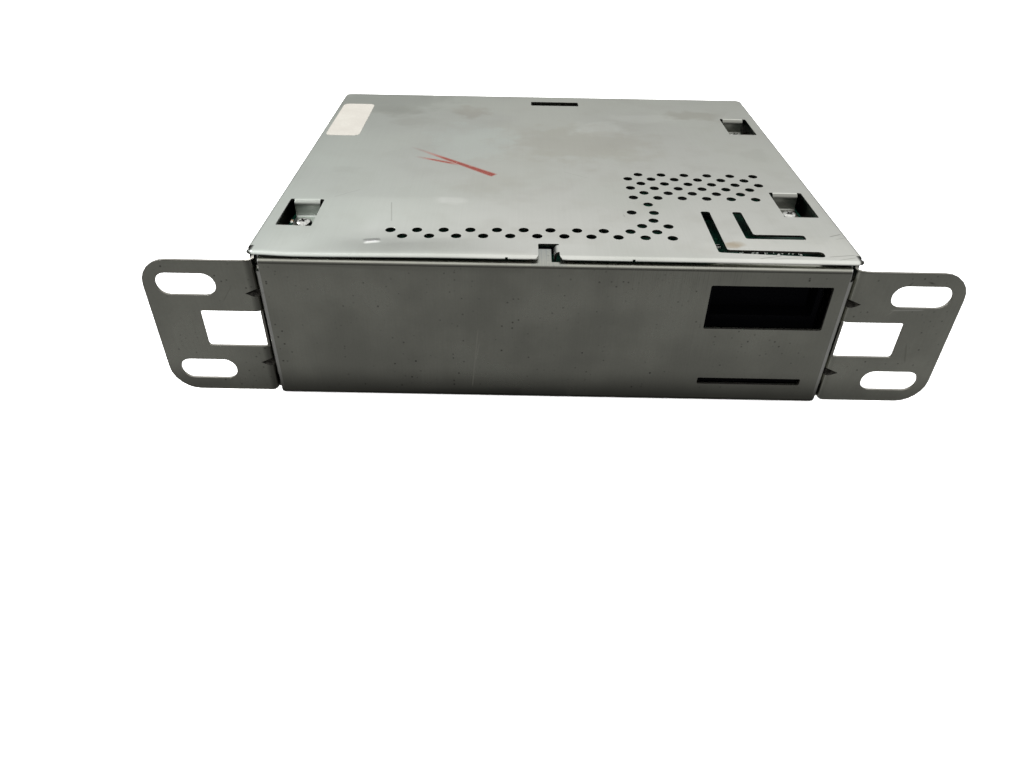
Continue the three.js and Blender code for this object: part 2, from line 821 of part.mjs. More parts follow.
// The right side wall with its ear. The left one is its mirror image with its own shelves.
function sideWall(shelfPlaces) {
  const outer = earBend + wallSheet;
  const bendEnd = earFace + outer;
  const plan = rounded(
    [
      [wallInner, bendEnd + wallSheet], [wallInner, earFace, outer], [earReach, earFace],
      [earReach, earFace + wallSheet], [wallOuter, earFace + wallSheet, earBend],
      [wallOuter, bendEnd + wallSheet],
    ],
    bendSteps,
  );
  const earOutline = rounded(
    [
      [wallInner, earBottom, earHeelRadius], [earReach, earBottom, earCornerRadius],
      [earReach, earTop, earCornerRadius], [wallOuter + earBend, earTop, earFilletRadius],
      [wallOuter + earBend, earTop + 2 * earFilletRadius], [wallInner, earTop + 2 * earFilletRadius],
    ],
    slotSteps,
  );
  const wallOutline = rounded([
    [bendEnd, earBottom], [wallBack, earBottom, plateCornerRadius], [wallBack, wallTop, plateCornerRadius],
    [bendEnd, wallTop],
  ]);
  const slots = [earBottom + earSlotInset, earTop - earSlotInset].map((z) => frontal(
    rounded(
      rectangle(
        earSlotX - earSlotLength / 2, earSlotX + earSlotLength / 2,
        z - earSlotHeight / 2, z + earSlotHeight / 2, earSlotHeight / 2,
      ), slotSteps,
    ),
    earFace - overrun, earFace + wallSheet + overrun,
  ));
  const cutRange = [earMiddle - earCutHeight / 2, earMiddle + earCutHeight / 2];
  const cut = frontal(
    rounded([
      [wallInner - overrun, cutRange[0]], [earCutReach, cutRange[0], earCutRadius],
      [earCutReach, cutRange[1], earCutRadius], [wallInner - overrun, cutRange[1]],
    ]),
    earFace - overrun, bendEnd,
  );
  const straightEdge = block(wallInner, wallOuter, earFace, bendEnd + wallSheet, ...cutRange);
  const webLeg = gussetLeg - (2 - Math.SQRT2) * wallSheet;
  const gussets = [earBottom + gussetInset, earTop - gussetInset].map((z) => ({
    web: cornerWedge(wallOuter, earFace + wallSheet, z, webLeg, gussetHalfHeight + wallSheet),
    pit: cornerWedge(wallInner, earFace, z, gussetLeg, gussetHalfHeight),
  }));
  const shelves = shelfPlaces.map((y) => shelf(y));
  const screwHoles = [[sideScrewFrontY, sideScrewHeight], [returnScrewY, returnScrewHeight]]
    .map(([y, z]) => barAcross(
      y, z, screwHoleRadius, wallInner - overrun, wallOuter + overrun, holeSides,
    ));
  const ear = upright(plan, earBottom, wallTop)
    .intersect(frontal(earOutline, earFace - overrun, bendEnd + 2 * overrun));
  return without(
    joined(
      without(
        joined(ear, sideways(wallOutline, wallInner, wallOuter)),
        cut, shelves.map(({ opening }) => opening),
      ),
      straightEdge,
      gussets.map(({ web }) => web),
      shelves.map(({ strip }) => strip),
    ),
    gussets.map(({ pit }) => pit), slots, screwHoles,
  );
}

function rearPanel() {
  const inner = baseBend - rearSheet;
  const half = plateHalf - plateCornerInset;
  const lengthwise = rounded(
    [
      [rearFace - rearSheet, rearBottom], [rearFace, rearBottom], [rearFace, rearTop, baseBend],
      [rearFace - rearFlangeDepth, rearTop], [rearFace - rearFlangeDepth, rearTop - rearSheet],
      [rearFace - rearSheet, rearTop - rearSheet, inner],
    ],
    bendSteps,
  );
  const returns = rounded(
    [
      [-plateHalf, rearFace - rearFlangeDepth], [-plateHalf + rearSheet, rearFace - rearFlangeDepth],
      [-plateHalf + rearSheet, rearFace - rearSheet, inner],
      [plateHalf - rearSheet, rearFace - rearSheet, inner],
      [plateHalf - rearSheet, rearFace - rearFlangeDepth], [plateHalf, rearFace - rearFlangeDepth],
      [plateHalf, rearFace, baseBend], [-plateHalf, rearFace, baseBend],
    ],
    bendSteps,
  );
  const depth = [rearFace - rearSheet - overrun, rearFace + overrun];
  const opening = (x0, x1, z0, z1) => frontal(
    rounded(
      rectangle(
        x0 - socketClearance, x1 + socketClearance, z0 - socketClearance, z1 + socketClearance,
        frontOpeningRadius,
      ),
    ), ...depth,
  );
  const returnHoles = barAcross(
    returnScrewY, returnScrewHeight, screwHoleRadius, -plateHalf - overrun, plateHalf + overrun, holeSides,
  );
  const rearHoles = [-1, 1].map((side) => barBack(
    side * rearScrewX, rearScrewHeight, screwHoleRadius, ...depth, holeSides,
  ));
  return without(
    joined(
      sideways(lengthwise, -half, half),
      upright(returns, lowFlangeHeight + baseSheet, rearTop - 2 * baseBend),
    ),
    opening(padLeft, padRight, padBottom, padTop),
    opening(connectorLeft, connectorRight, connectorBottom, hangTop),
    opening(dataX - dataWidth / 2, dataX + dataWidth / 2, dataBottom, hangTop),
    barBack(antennaX, antennaZ, antennaRadius + socketClearance, ...depth),
    returnHoles, rearHoles,
    sinkScrewX.map((x) => barBack(x, padMiddleZ, screwHoleRadius, ...depth, holeSides)),
  );
}

// A pan-head cross screw standing on Z = 0, its shank below.
function screw(length) {
  const profile = [
    [0, -length], [screwRadius, -length], [screwRadius, 0], [screwHeadRadius, 0],
    [screwHeadRadius, screwHeadHeight / 2], [screwHeadRadius * screwCrownShare, screwHeadHeight],
    [0, screwHeadHeight],
  ].map(([r, z]) => new THREE.Vector2(r, z));
  const body = solid(new THREE.LatheGeometry(profile, screwSides).rotateX(Math.PI / 2));
  const arm = [screwCrossLength / 2, screwCrossWidth / 2];
  const floor = screwHeadHeight - screwCrossDepth;
  return without(
    body,
    block(-arm[0], arm[0], -arm[1], arm[1], floor, screwHeadHeight + overrun),
    block(-arm[1], arm[1], -arm[0], arm[0], floor, screwHeadHeight + overrun),
  );
}

// A chip or module block whose outer edges are bevelled, on top of a board or under it.
function chip(x, y, width, length, z0, z1, bevelUp) {
  const corners = (inset) => rectangle(
    x - width / 2 + inset, x + width / 2 - inset, y - length / 2 + inset, y + length / 2 - inset,
  );
  const step = (z1 - z0) / 2;
  const [near, far] = bevelUp ? [[z0, z0 + step], [z0 + step, z1]] : [[z1 - step, z1], [z0, z1 - step]];
  return joined(
    upright(rounded(corners(0)), ...near), upright(rounded(corners(chipBevel)), ...far),
  );
}

function mainBoard() {
  const outline = rounded(
    rectangle(-mainBoardHalfWidth, mainBoardHalfWidth, mainBoardFront, mainBoardBack, plateCornerRadius),
  );
  return without(
    upright(outline, boardBottom, boardTop),
    boardFixings.map(({ x, y }) => barUp(
      x, y, screwHoleRadius, boardBottom - overrun, boardTop + overrun, holeSides,
    )),
    block(
      notchRight - lidSheet - 2 * tongueBend - fit, notchRight + fit, -overrun, lugBack + fit,
      boardBottom - overrun, boardTop + overrun,
    ),
  );
}

function interfaceBoard() {
  return block(
    interfaceBoardLeft, interfaceBoardRight, interfaceBoardY, interfaceBoardY + boardSheet,
    interfaceBoardBottom, hangTop,
  );
}

// The shrouded header behind the front window.
function windowPlug() {
  const inset = 2 * fit;
  const [x0, x1] = [frontWindowLeft + inset, frontWindowRight - inset];
  const [z0, z1] = [frontWindowBottom + inset, frontWindowTop - inset];
  const outer = rounded(rectangle(x0, x1, z0, z1, frontOpeningRadius));
  const inner = rounded(
    rectangle(x0 + plugWall, x1 - plugWall, z0 + plugWall, z1 - plugWall, frontOpeningRadius),
  );
  const key = block(
    (x0 + x1) / 2 - plugWall, (x0 + x1) / 2 + plugWall, plugRecess - overrun, plugRecess + plugCavity,
    z1 - 2 * plugWall, z1 + overrun,
  );
  const foot = block(x0, x1, plugRecess, interfaceBoardY - fit, z0 - plugFootDrop, z0 + plugWall);
  return without(
    joined(frontal(outer, plugRecess, interfaceBoardY - fit), foot),
    frontal(inner, plugRecess - overrun, plugRecess + plugCavity), key,
  );
}

// The flat-cable connector behind the front slot, its mouth in line with the slot.
function ribbonConnector() {
  const middle = (frontSlotBottom + frontSlotTop) / 2;
  const [x0, x1] = [frontSlotLeft - fit, frontSlotRight + fit];
  const body = block(
    x0, x1, ribbonRecess, interfaceBoardY - fit, middle - ribbonHeight / 2, middle + ribbonHeight / 2,
  );
  const mouth = block(
    x0 + plugWall, x1 - plugWall, ribbonRecess - overrun, ribbonRecess + ribbonDepth,
    middle - ribbonMouth / 2, middle + ribbonMouth / 2,
  );
  return body.subtract(mouth);
}

function linkHeader() {
  const y0 = interfaceBoardY + boardSheet + fit;
  return block(headerLeft, headerRight, y0, y0 + headerDepth, hangTop - headerHeight, hangTop);
}

// The main connector: four keyed chambers side by side and one above the other, and the fuse's chamber.
function mainConnector() {
  const w = connectorWall;
  const fuseChamber = fuseWidth + 2 * fit;
  const columns = (connectorWidth - 4 * w - fuseChamber) / 2;
  const rows = (connectorHeight - 3 * w) / 2;
  const front = connectorBack - connectorLength;
  const mouth = [connectorBack - connectorChamberDepth, connectorBack + overrun];
  const chambers = [0, 1].flatMap((column) => [0, 1].map((row) => {
    const x0 = connectorLeft + w + column * (columns + w);
    const z0 = connectorBottom + w + row * (rows + w);
    const key = x0 + (column ? columns - connectorKeyInset : connectorKeyInset);
    const ridge = block(
      key - connectorKey / 2, key + connectorKey / 2, mouth[0] - fit, mouth[1] + fit,
      z0 - fit, z0 + connectorKey,
    );
    const outline = rounded(rectangle(x0, x0 + columns, z0, z0 + rows, frontOpeningRadius));
    const hollow = frontal(outline, ...mouth);
    return hollow.subtract(ridge);
  }));
  const fuseX = connectorRight - w - fuseChamber;
  const fuseZ = (connectorBottom + hangTop) / 2;
  const fuseHole = block(
    fuseX, fuseX + fuseChamber, ...mouth, fuseZ - fuseHeight / 2 - fit, fuseZ + fuseHeight / 2 + fit,
  );
  const body = frontal(
    rounded(rectangle(connectorLeft, connectorRight, connectorBottom, hangTop, frontOpeningRadius)),
    front, connectorBack,
  );
  return without(body, chambers, fuseHole);
}

function bladeFuse() {
  const x = connectorRight - connectorWall - fit - fuseWidth / 2;
  const z = (connectorBottom + hangTop) / 2;
  const back = connectorBack + fuseProud;
  const body = frontal(
    rounded(
      rectangle(
        x - fuseWidth / 2, x + fuseWidth / 2, z - fuseHeight / 2, z + fuseHeight / 2,
        frontOpeningRadius,
      ),
    ), back - fuseLength, back,
  );
  const slits = [-1, 1].map((k) => block(
    x - fuseSlitWidth / 2, x + fuseSlitWidth / 2, back - fuseSlitDepth, back + overrun,
    z + (k * fuseHeight) / 4 - fuseSlitWidth, z + (k * fuseHeight) / 4 + fuseSlitWidth,
  ));
  return without(body, slits);
}

function antennaSocket() {
  const blockBack = rearFace - rearSheet - fit;
  const body = block(
    antennaX - antennaBlock / 2, antennaX + antennaBlock / 2, blockBack - antennaBlockLength, blockBack,
    hangTop - antennaBlock, hangTop,
  );
  const tube = barBack(antennaX, antennaZ, antennaRadius, blockBack - overrun, antennaBack);
  const bore = barBack(antennaX, antennaZ, antennaBore, antennaBoreEnd, antennaBack + overrun);
  return joined(body, tube).subtract(bore);
}

function antennaInsulatorRing() {
  const ends = [antennaBoreEnd + fit, antennaBoreEnd + fit + antennaInsulator];
  return barBack(antennaX, antennaZ, antennaBore - fit, ...ends)
    .subtract(barBack(
      antennaX, antennaZ, antennaContactRadius + fit, ends[0] - overrun, ends[1] + overrun, holeSides,
    ));
}

function antennaContact() {
  const start = antennaBoreEnd + fit;
  return barBack(
    antennaX, antennaZ, antennaContactRadius, start, start + antennaContactLength, holeSides,
  );
}

function dataSocket() {
  const shell = frontal(
    rounded(
      rectangle(dataX - dataWidth / 2, dataX + dataWidth / 2, dataBottom, hangTop, frontOpeningRadius),
    ), dataBack - dataLength, dataBack,
  );
  const hollow = block(
    dataX - dataWidth / 2 + dataWall, dataX + dataWidth / 2 - dataWall,
    dataBack - dataLength + dataWall, dataBack + overrun, dataBottom + dataWall, hangTop - dataWall,
  );
  return shell.subtract(hollow);
}

function dataInsert() {
  const inset = dataWall + fit;
  const [x0, x1] = [dataX - dataWidth / 2 + inset, dataX + dataWidth / 2 - inset];
  const y0 = dataBack - dataLength + inset;
  const top = hangTop - inset - dataTongueDrop;
  return joined(
    block(x0, x1, y0, y0 + dataInsertLength, dataBottom + inset, hangTop - inset),
    block(
      x0 + dataTongueDrop, x1 - dataTongueDrop, y0 + fit, y0 + dataInsertLength + dataTongueLength,
      top - dataTongue, top,
    ),
  );
}

// The finned heat sink: a plate on the rear panel, upright fins behind it and a pad through the panel.
function heatSink() {
  const plate = block(sinkLeft, sinkRight, rearFace + fit, sinkFace, sinkBottom, sinkTop);
  const pad = block(padLeft, padRight, padFace, rearFace + fit + sinkPlate / 2, padBottom, padTop);
  const pitch = (padRight - padLeft - finSheet) / (finCount - 1);
  const fins = Array.from({ length: finCount }, (_, i) => {
    const x = padLeft + i * pitch;
    const profile = rounded([
      [x, sinkFace - sinkPlate / 2], [x + finSheet, sinkFace - sinkPlate / 2],
      [x + finSheet, sinkFace + finDepth, finSheet / 3], [x, sinkFace + finDepth, finSheet / 3],
    ], 2);
    return upright(profile, sinkBottom, sinkTop);
  });
  const plateHoles = sinkScrewX.map((x) => barBack(
    x, padMiddleZ, screwHoleRadius, rearFace, sinkFace + overrun, holeSides,
  ));
  const padHoles = [-1, 1].map((side) => barBack(
    padMiddleX + side * clampScrewX, padMiddleZ, screwHoleRadius, padFace - overrun, padFace + padHoleDepth,
    holeSides,
  ));
  return without(joined(plate, pad, fins), plateHoles, padHoles);
}

// The power amplifier: a flat moulded body with its row of leads up to the board.
function amplifier() {
  const half = amplifierWidth / 2;
  const body = block(
    padMiddleX - half, padMiddleX + half, amplifierFace, padFace - fit,
    amplifierBottom, amplifierBottom + amplifierHeight,
  );
  const pitch = (amplifierWidth - 2 * amplifierLeadWidth) / amplifierLeadCount;
  const leads = Array.from({ length: amplifierLeadCount }, (_, i) => {
    const x = padMiddleX + (i - (amplifierLeadCount - 1) / 2) * pitch;
    const shift = (i % 2) * amplifierLeadWidth * 2;
    const y = amplifierFace + amplifierLeadWidth + shift;
    return block(
      x - amplifierLeadWidth / 2, x + amplifierLeadWidth / 2, y, y + amplifierLeadWidth,
      amplifierBottom + amplifierHeight - amplifierLeadWidth, hangTop,
    );
  });
  return joined(body, leads);
}

// The spring bar that presses the amplifier on the pad.
function amplifierClamp() {
  const outer = clampBend + clampSheet;
  const endBack = padFace - fit;
  const endFace = endBack - clampSheet;
  const midBack = amplifierFace - fit;
  const midFace = midBack - clampSheet;
  const step = clampStep;
  const profile = rounded(
    [
      [-clampHalf, endFace], [-step, endFace, clampBend], [-step, midFace, outer], [step, midFace, outer],
      [step, endFace, clampBend], [clampHalf, endFace], [clampHalf, endBack],
      [step - clampSheet, endBack, outer], [step - clampSheet, midBack, clampBend],
      [-step + clampSheet, midBack, clampBend], [-step + clampSheet, endBack, outer], [-clampHalf, endBack],
    ].map(([x, y, r]) => [x + padMiddleX, y, r]),
    bendSteps,
  );
  const holes = [-1, 1].map((side) => barBack(
    padMiddleX + side * clampScrewX, padMiddleZ, screwHoleRadius, endFace - overrun, endBack + overrun,
    holeSides,
  ));
  return without(upright(profile, padMiddleZ - clampHeight / 2, padMiddleZ + clampHeight / 2), holes);
}

// The tuner's screening can, folded from thin sheet and open towards the board, with its snap-on cover below.
function tunerCan() {
  const bottom = hangTop - tunerHeight;
  const outline = (inset) => rounded(
    rectangle(
      tunerLeft + inset, tunerRight - inset, tunerFront + inset, tunerBack - inset, tunerCornerRadius,
    ),
  );
  return joined(
    upright(outline(0), bottom, bottom + tunerSeamInset),
    upright(outline(tunerSeam), bottom + tunerSeamInset / 2, hangTop),
  ).subtract(upright(outline(tunerSeam + tunerSheet), bottom + tunerSheet, hangTop + overrun));
}

// A can capacitor hanging from the board, with its crimped neck near the seal.
function capacitor(x) {
  const neck = hangTop - capacitorNeckInset;
  const r = capacitorRadius;
  const bottom = hangTop - capacitorLength;
  const profile = [
    [0, bottom], [r - capacitorEdge, bottom], [r, bottom + capacitorEdge], [r, neck - capacitorNeckDepth],
    [r - capacitorNeckDepth, neck], [r, neck + capacitorNeckDepth], [r, hangTop], [0, hangTop],
  ].map(([u, z]) => new THREE.Vector2(u, z));
  return solid(new THREE.LatheGeometry(profile, holeSides).rotateX(Math.PI / 2).translate(x, capacitorY, 0));
}

// The supply choke: a pot core with its two side windows.
function choke() {
  const half = chokeSize / 2;
  const bottom = hangTop - chokeHeight;
  const core = upright(
    rounded(rectangle(chokeX - half, chokeX + half, chokeY - half, chokeY + half, capacitorEdge * 3)),
    bottom, hangTop,
  );
  const windows = [-1, 1].map((side) => block(
    chokeX + side * half - chokeSize / 8, chokeX + side * half + chokeSize / 8,
    chokeY - chokeSize / 4, chokeY + chokeSize / 4, bottom + chokeHeight / 4, hangTop - chokeHeight / 4,
  ));
  return without(core, windows);
}

const radio = new THREE.Group();
radio.position.y = -overallDepth / 2;

function place(name, made, look) {
  const mesh = new THREE.Mesh(geometryOf(made), new THREE.MeshStandardMaterial(looks[look]));
  mesh.name = name;
  radio.add(mesh);
  return mesh;
}

// A screw with its head's seat at a place, its shank pointing along a direction.
function placeScrew(name, length, seat, direction) {
  const mesh = place(name, screw(length), "screwSteel");
  const head = new THREE.Vector3(...direction).negate();
  mesh.quaternion.setFromUnitVectors(new THREE.Vector3(0, 0, 1), head);
  mesh.position.set(...seat).addScaledVector(head, fit);
}

place("base_tray", baseTray(), "steel");
place("side_wall_right", sideWall(boardFixings.filter(({ side }) => side > 0).map(({ y }) => y)), "steel");
place(
  "side_wall_left", mirrored(sideWall([boardFixings[0].y, boardFixings[2].y])), "steel",
);
place("rear_panel", rearPanel(), "steel");
place("lid", lid(), "lidSteel");

place("main_board", mainBoard(), "board");
place("interface_board", interfaceBoard(), "board");
place("board_link_header", linkHeader(), "blackPlastic");
place("window_plug", windowPlug(), "blackPlastic");
place("ribbon_connector", ribbonConnector(), "blackPlastic");

place("main_connector", mainConnector(), "blackPlastic");
place("blade_fuse", bladeFuse(), "fuseRed");
place("antenna_socket", antennaSocket(), "sleeve");
place("antenna_insulator", antennaInsulatorRing(), "insulator");
place("antenna_contact", antennaContact(), "brass");
place("data_socket", dataSocket(), "tin");
place("data_insert", dataInsert(), "insulator");

place("heat_sink", heatSink(), "aluminium");
place("power_amplifier", amplifier(), "chip");
place("amplifier_clamp", amplifierClamp(), "spring");

place("tuner_can", tunerCan(), "tin");
place(
  "processor",
  chip(
    processorX, processorY, processorSize, processorSize,
    boardTop + fit, boardTop + fit + processorHeight, true,
  ),
  "chip",
);
[0, 1].forEach((i) => place(
  `memory_chip_${i + 1}`,
  chip(
    memoryX, memoryY + i * memorySpacing, memoryWidth, memoryLength,
    boardTop + fit, boardTop + fit + memoryHeight, true,
  ),
  "chip",
));
place(
  "audio_processor",
  chip(audioChipX, audioChipY, audioChipSize, audioChipSize, hangTop - audioChipHeight, hangTop, false),
  "chip",
);
place(
  "wireless_module",
  chip(wirelessX, wirelessY, wirelessWidth, wirelessLength, hangTop - wirelessHeight, hangTop, false),
  "tin",
);
for (let i = 0; i < capacitorCount; i++) {
  place(`capacitor_${i + 1}`, capacitor(capacitorX + i * capacitorSpacing), "sleeve");
}
place("supply_choke", choke(), "chip");

boardFixings.forEach(({ x, y }, i) => placeScrew(
  `board_screw_${i + 1}`, boardScrewLength, [x, y, footTop], [0, 0, -1],
));
for (const [name, side] of [["left", -1], ["right", 1]]) {
  placeScrew(
    `front_side_screw_${name}`, caseScrewLength, [side * wallOuter, sideScrewFrontY, sideScrewHeight],
    [-side, 0, 0],
  );
  placeScrew(
    `rear_side_screw_${name}`, caseScrewLength, [side * wallOuter, returnScrewY, returnScrewHeight],
    [-side, 0, 0],
  );
  placeScrew(
    `rear_screw_${name}`, caseScrewLength, [side * rearScrewX, rearFace, rearScrewHeight], [0, -1, 0],
  );
  placeScrew(
    `clamp_screw_${name}`, clampScrewLength,
    [padMiddleX + side * clampScrewX, padFace - fit - clampSheet, padMiddleZ], [0, 1, 0],
  );
}
sinkScrewX.forEach((x, i) => placeScrew(
  `sink_screw_${i + 1}`, sinkScrewLength, [x, sinkFace, padMiddleZ], [0, -1, 0],
));

export default radio;
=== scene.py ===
# A hidden car radio in folded galvanised steel, seen from above its front plate. Metres, in the CAD frame:
# X to the right of the front plate, Y from the front plate to the sockets, Z up from the base.
import json
import math

import bpy
from mathutils import Matrix, Vector


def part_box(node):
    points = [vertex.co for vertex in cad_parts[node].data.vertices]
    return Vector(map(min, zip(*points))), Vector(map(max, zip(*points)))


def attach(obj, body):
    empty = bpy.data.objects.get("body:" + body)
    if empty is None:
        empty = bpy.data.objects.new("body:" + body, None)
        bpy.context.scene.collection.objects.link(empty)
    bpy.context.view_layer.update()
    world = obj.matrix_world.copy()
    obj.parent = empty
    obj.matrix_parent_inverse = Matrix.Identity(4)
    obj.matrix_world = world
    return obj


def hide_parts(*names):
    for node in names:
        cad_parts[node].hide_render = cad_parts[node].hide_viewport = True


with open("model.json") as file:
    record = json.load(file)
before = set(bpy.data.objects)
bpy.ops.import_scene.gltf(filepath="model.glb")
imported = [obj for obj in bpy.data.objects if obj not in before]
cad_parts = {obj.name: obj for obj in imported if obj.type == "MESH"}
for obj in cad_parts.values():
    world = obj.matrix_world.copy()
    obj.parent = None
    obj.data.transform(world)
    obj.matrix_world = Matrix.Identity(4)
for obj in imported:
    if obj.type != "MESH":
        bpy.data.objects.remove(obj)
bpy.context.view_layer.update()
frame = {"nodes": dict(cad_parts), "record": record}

MM = 0.001
NODES = frame["nodes"]
SHIFT_Y = -85.35  # the front plate's face, in mm, in the CAD frame
BOARD_TOP, LID_TOP = 45.1, 51.7  # heights above the base, in mm
LID_FACE = LID_TOP - 0.2  # what lies above this height is the lid's face
HEAD_HEIGHT = 1.9  # of a screw, in mm
ROLL_DEPTH = 0.003 * MM  # how deep the mill's rolls mark the sheet
bpy.ops.object.select_all(action="DESELECT")


def shade(code):
    """An sRGB hex colour as linear RGBA."""
    parts = [int(code[i:i + 2], 16) / 255 for i in (1, 3, 5)]
    return [c / 12.92 if c <= 0.04045 else ((c + 0.055) / 1.055) ** 2.4 for c in parts] + [1.0]


def add(tree, kind, inputs=None, out=0, **settings):
    """Adds a node with its settings. Each input is a value, or another node's output to link."""
    made = tree.nodes.new(kind)
    for key, value in settings.items():
        setattr(made, key, value)
    for key, value in (inputs or {}).items():
        if isinstance(value, bpy.types.NodeSocket):
            tree.links.new(value, made.inputs[key])
        else:
            made.inputs[key].default_value = value
    return made if out is None else made.outputs[out]


# Finishes. Each pattern follows the position in millimetres from the front plate's face.
def blank(name, metallic, roughness, specular=0.5):
    """A material with its shader, and the position that its patterns follow."""
    material = bpy.data.materials.new(name)
    material.use_nodes = True
    tree = material.node_tree
    tree.nodes.clear()
    shader = add(tree, "ShaderNodeBsdfPrincipled", {
        "Metallic": metallic, "Roughness": roughness, "Specular IOR Level": specular,
    }, out=None)
    add(tree, "ShaderNodeOutputMaterial", {"Surface": shader.outputs[0]}, out=None)
    place = add(tree, "ShaderNodeMapping", {
        "Vector": add(tree, "ShaderNodeTexCoord", out="Object"), "Location": (0, -SHIFT_Y, 0),
        "Scale": (1 / MM, 1 / MM, 1 / MM),
    })
    return material, tree, shader, place


def rolled_lines(tree, place, run):
    """The lines that rolls, a shear or a brush leave: as long and as fine along each axis as run says, in mm."""
    drawn = add(tree, "ShaderNodeMapping", {"Vector": place, "Scale": [1 / s for s in run]})
    return add(tree, "ShaderNodeTexNoise", {"Vector": drawn, "Scale": 1.0, "Detail": 2.0})


def clouded(tree, place, size, low, high, detail=3.0):
    """Soft patches of that many millimetres, as a share from 0 to 1."""
    cloud = add(tree, "ShaderNodeTexNoise", {"Vector": place, "Scale": 1 / size, "Detail": detail})
    return add(tree, "ShaderNodeMapRange", {"Value": cloud, "From Min": low, "From Max": high},
               interpolation_type="SMOOTHSTEP")


def tinted(tree, share, under, over, most=1.0):
    """A colour laid over another by a share, and at most that strongly."""
    held = add(tree, "ShaderNodeMath", {0: share, 1: most}, operation="MULTIPLY")
    return add(tree, "ShaderNodeMix", {0: held, 6: under, 7: over}, out=2, data_type="RGBA")


def drawn_mark(tree, place, start, end, widths, soft, fade):
    """A share that is 1 on a line from start to end, in mm, which widens from one width to the other. Its sides
    are that soft, and it fades in and out over two lengths."""
    run = Vector(end) - Vector(start)
    laid = add(tree, "ShaderNodeMapping", {
        "Vector": place, "Location": (*start, 0), "Rotation": (0, 0, math.atan2(run.y, run.x)),
    }, vector_type="TEXTURE")
    parts = add(tree, "ShaderNodeSeparateXYZ", {"Vector": laid}, out=None)
    across = add(tree, "ShaderNodeMath", {0: parts.outputs["Y"]}, operation="ABSOLUTE")
    half = add(tree, "ShaderNodeMapRange", {
        "Value": parts.outputs["X"], "From Max": run.length, "To Min": widths[0] / 2, "To Max": widths[1] / 2,
    })
    inside = add(tree, "ShaderNodeMath", {0: half, 1: across}, operation="SUBTRACT")
    side = add(tree, "ShaderNodeMapRange", {"Value": inside, "From Min": -soft, "From Max": soft},
               interpolation_type="SMOOTHSTEP")
    first = add(tree, "ShaderNodeMapRange", {"Value": parts.outputs["X"], "From Max": fade[0]})
    last = add(tree, "ShaderNodeMapRange", {
        "Value": parts.outputs["X"], "From Min": run.length, "From Max": run.length - fade[1],
    })
    ends = add(tree, "ShaderNodeMath", {0: first, 1: last}, operation="MULTIPLY")
    return add(tree, "ShaderNodeMath", {0: side, 1: ends}, operation="MULTIPLY")


def rubbed_patch(tree, place, centre, reach):
    """A share that is 1 in the middle of an oval and fades to 0 at its rim, the same at any height."""
    any_height = 1000
    laid = add(tree, "ShaderNodeMapping", {
        "Vector": place, "Location": (*centre, 0), "Scale": (*reach, any_height),
    }, vector_type="TEXTURE")
    away = add(tree, "ShaderNodeVectorMath", {0: laid}, out="Value", operation="LENGTH")
    return add(tree, "ShaderNodeMapRange", {"Value": away, "From Min": 1.0, "From Max": 0.4},
               interpolation_type="SMOOTHSTEP")


# Marks on the lid, in mm from the middle and from the front plate. A smudge or a stain has its centre, its reach,
# its tone and how strong it is. A hairline has its start, its end, its width and how strong it is.
RUBBED = [
    ((-62, 132), (15, 9), "#a5a59a", 0.3), ((-32, 133), (12, 9), "#a9a092", 0.35),
    ((-54, 118), (12, 8), "#aaa89d", 0.2), ((-20, 52), (16, 12), "#bdb9ab", 0.16),
    ((-33.4, 39), (7, 4), "#f6f8f4", 0.4), ((-72, 64), (7, 5), "#b0b3a9", 0.14),
    ((22, 113), (14, 12), "#eef2ee", 0.35), ((44, 128), (18, 8), "#e9ece6", 0.3),
    ((63, 133), (16, 8), "#a9a598", 0.4), ((80, 86), (8, 8), "#b0b1a8", 0.18),
    ((14, 96), (40, 26), "#bbb6a6", 0.3), ((-78, 22), (10, 9), "#bcbeb4", 0.15),
    ((-30, 96), (20, 24), "#dde8e3", 0.3), ((-12, 8), (30, 5), "#f2f4f0", 0.15),
    ((-72, 146), (44, 20), "#a2a69d", 0.35), ((70, 6), (34, 14), "#f6f6f0", 0.35),
]
STAIN = [((53.2, 9.4), (3.8, 2.8), "#bba684", 0.5), ((54.8, 10.4), (3.6, 2.4), "#c0ae90", 0.4)]
HAIRLINES = [
    ((84.2, 16.6), (88.6, 18.6), 0.3, 0.7), ((85.6, 15.0), (89.0, 16.0), 0.2, 0.5),
    ((59.0, 1.4), (66.5, 3.4), 0.25, 0.6), ((63.0, 1.2), (72.0, 2.6), 0.2, 0.45),
    ((79.5, 3.2), (88.2, 4.7), 0.3, 0.55), ((82.0, 1.3), (88.0, 3.2), 0.25, 0.5),
    ((22.8, 30.5), (23.1, 28.2), 0.3, 0.4), ((-22, 62.5), (-21.2, 60.8), 0.25, 0.4),
    ((-50.6, 23.5), (-52.5, 37.3), 0.3, 0.35), ((-72, 40), (-64, 47), 0.2, 0.25), ((5, 66), (14, 60), 0.2, 0.22),
]


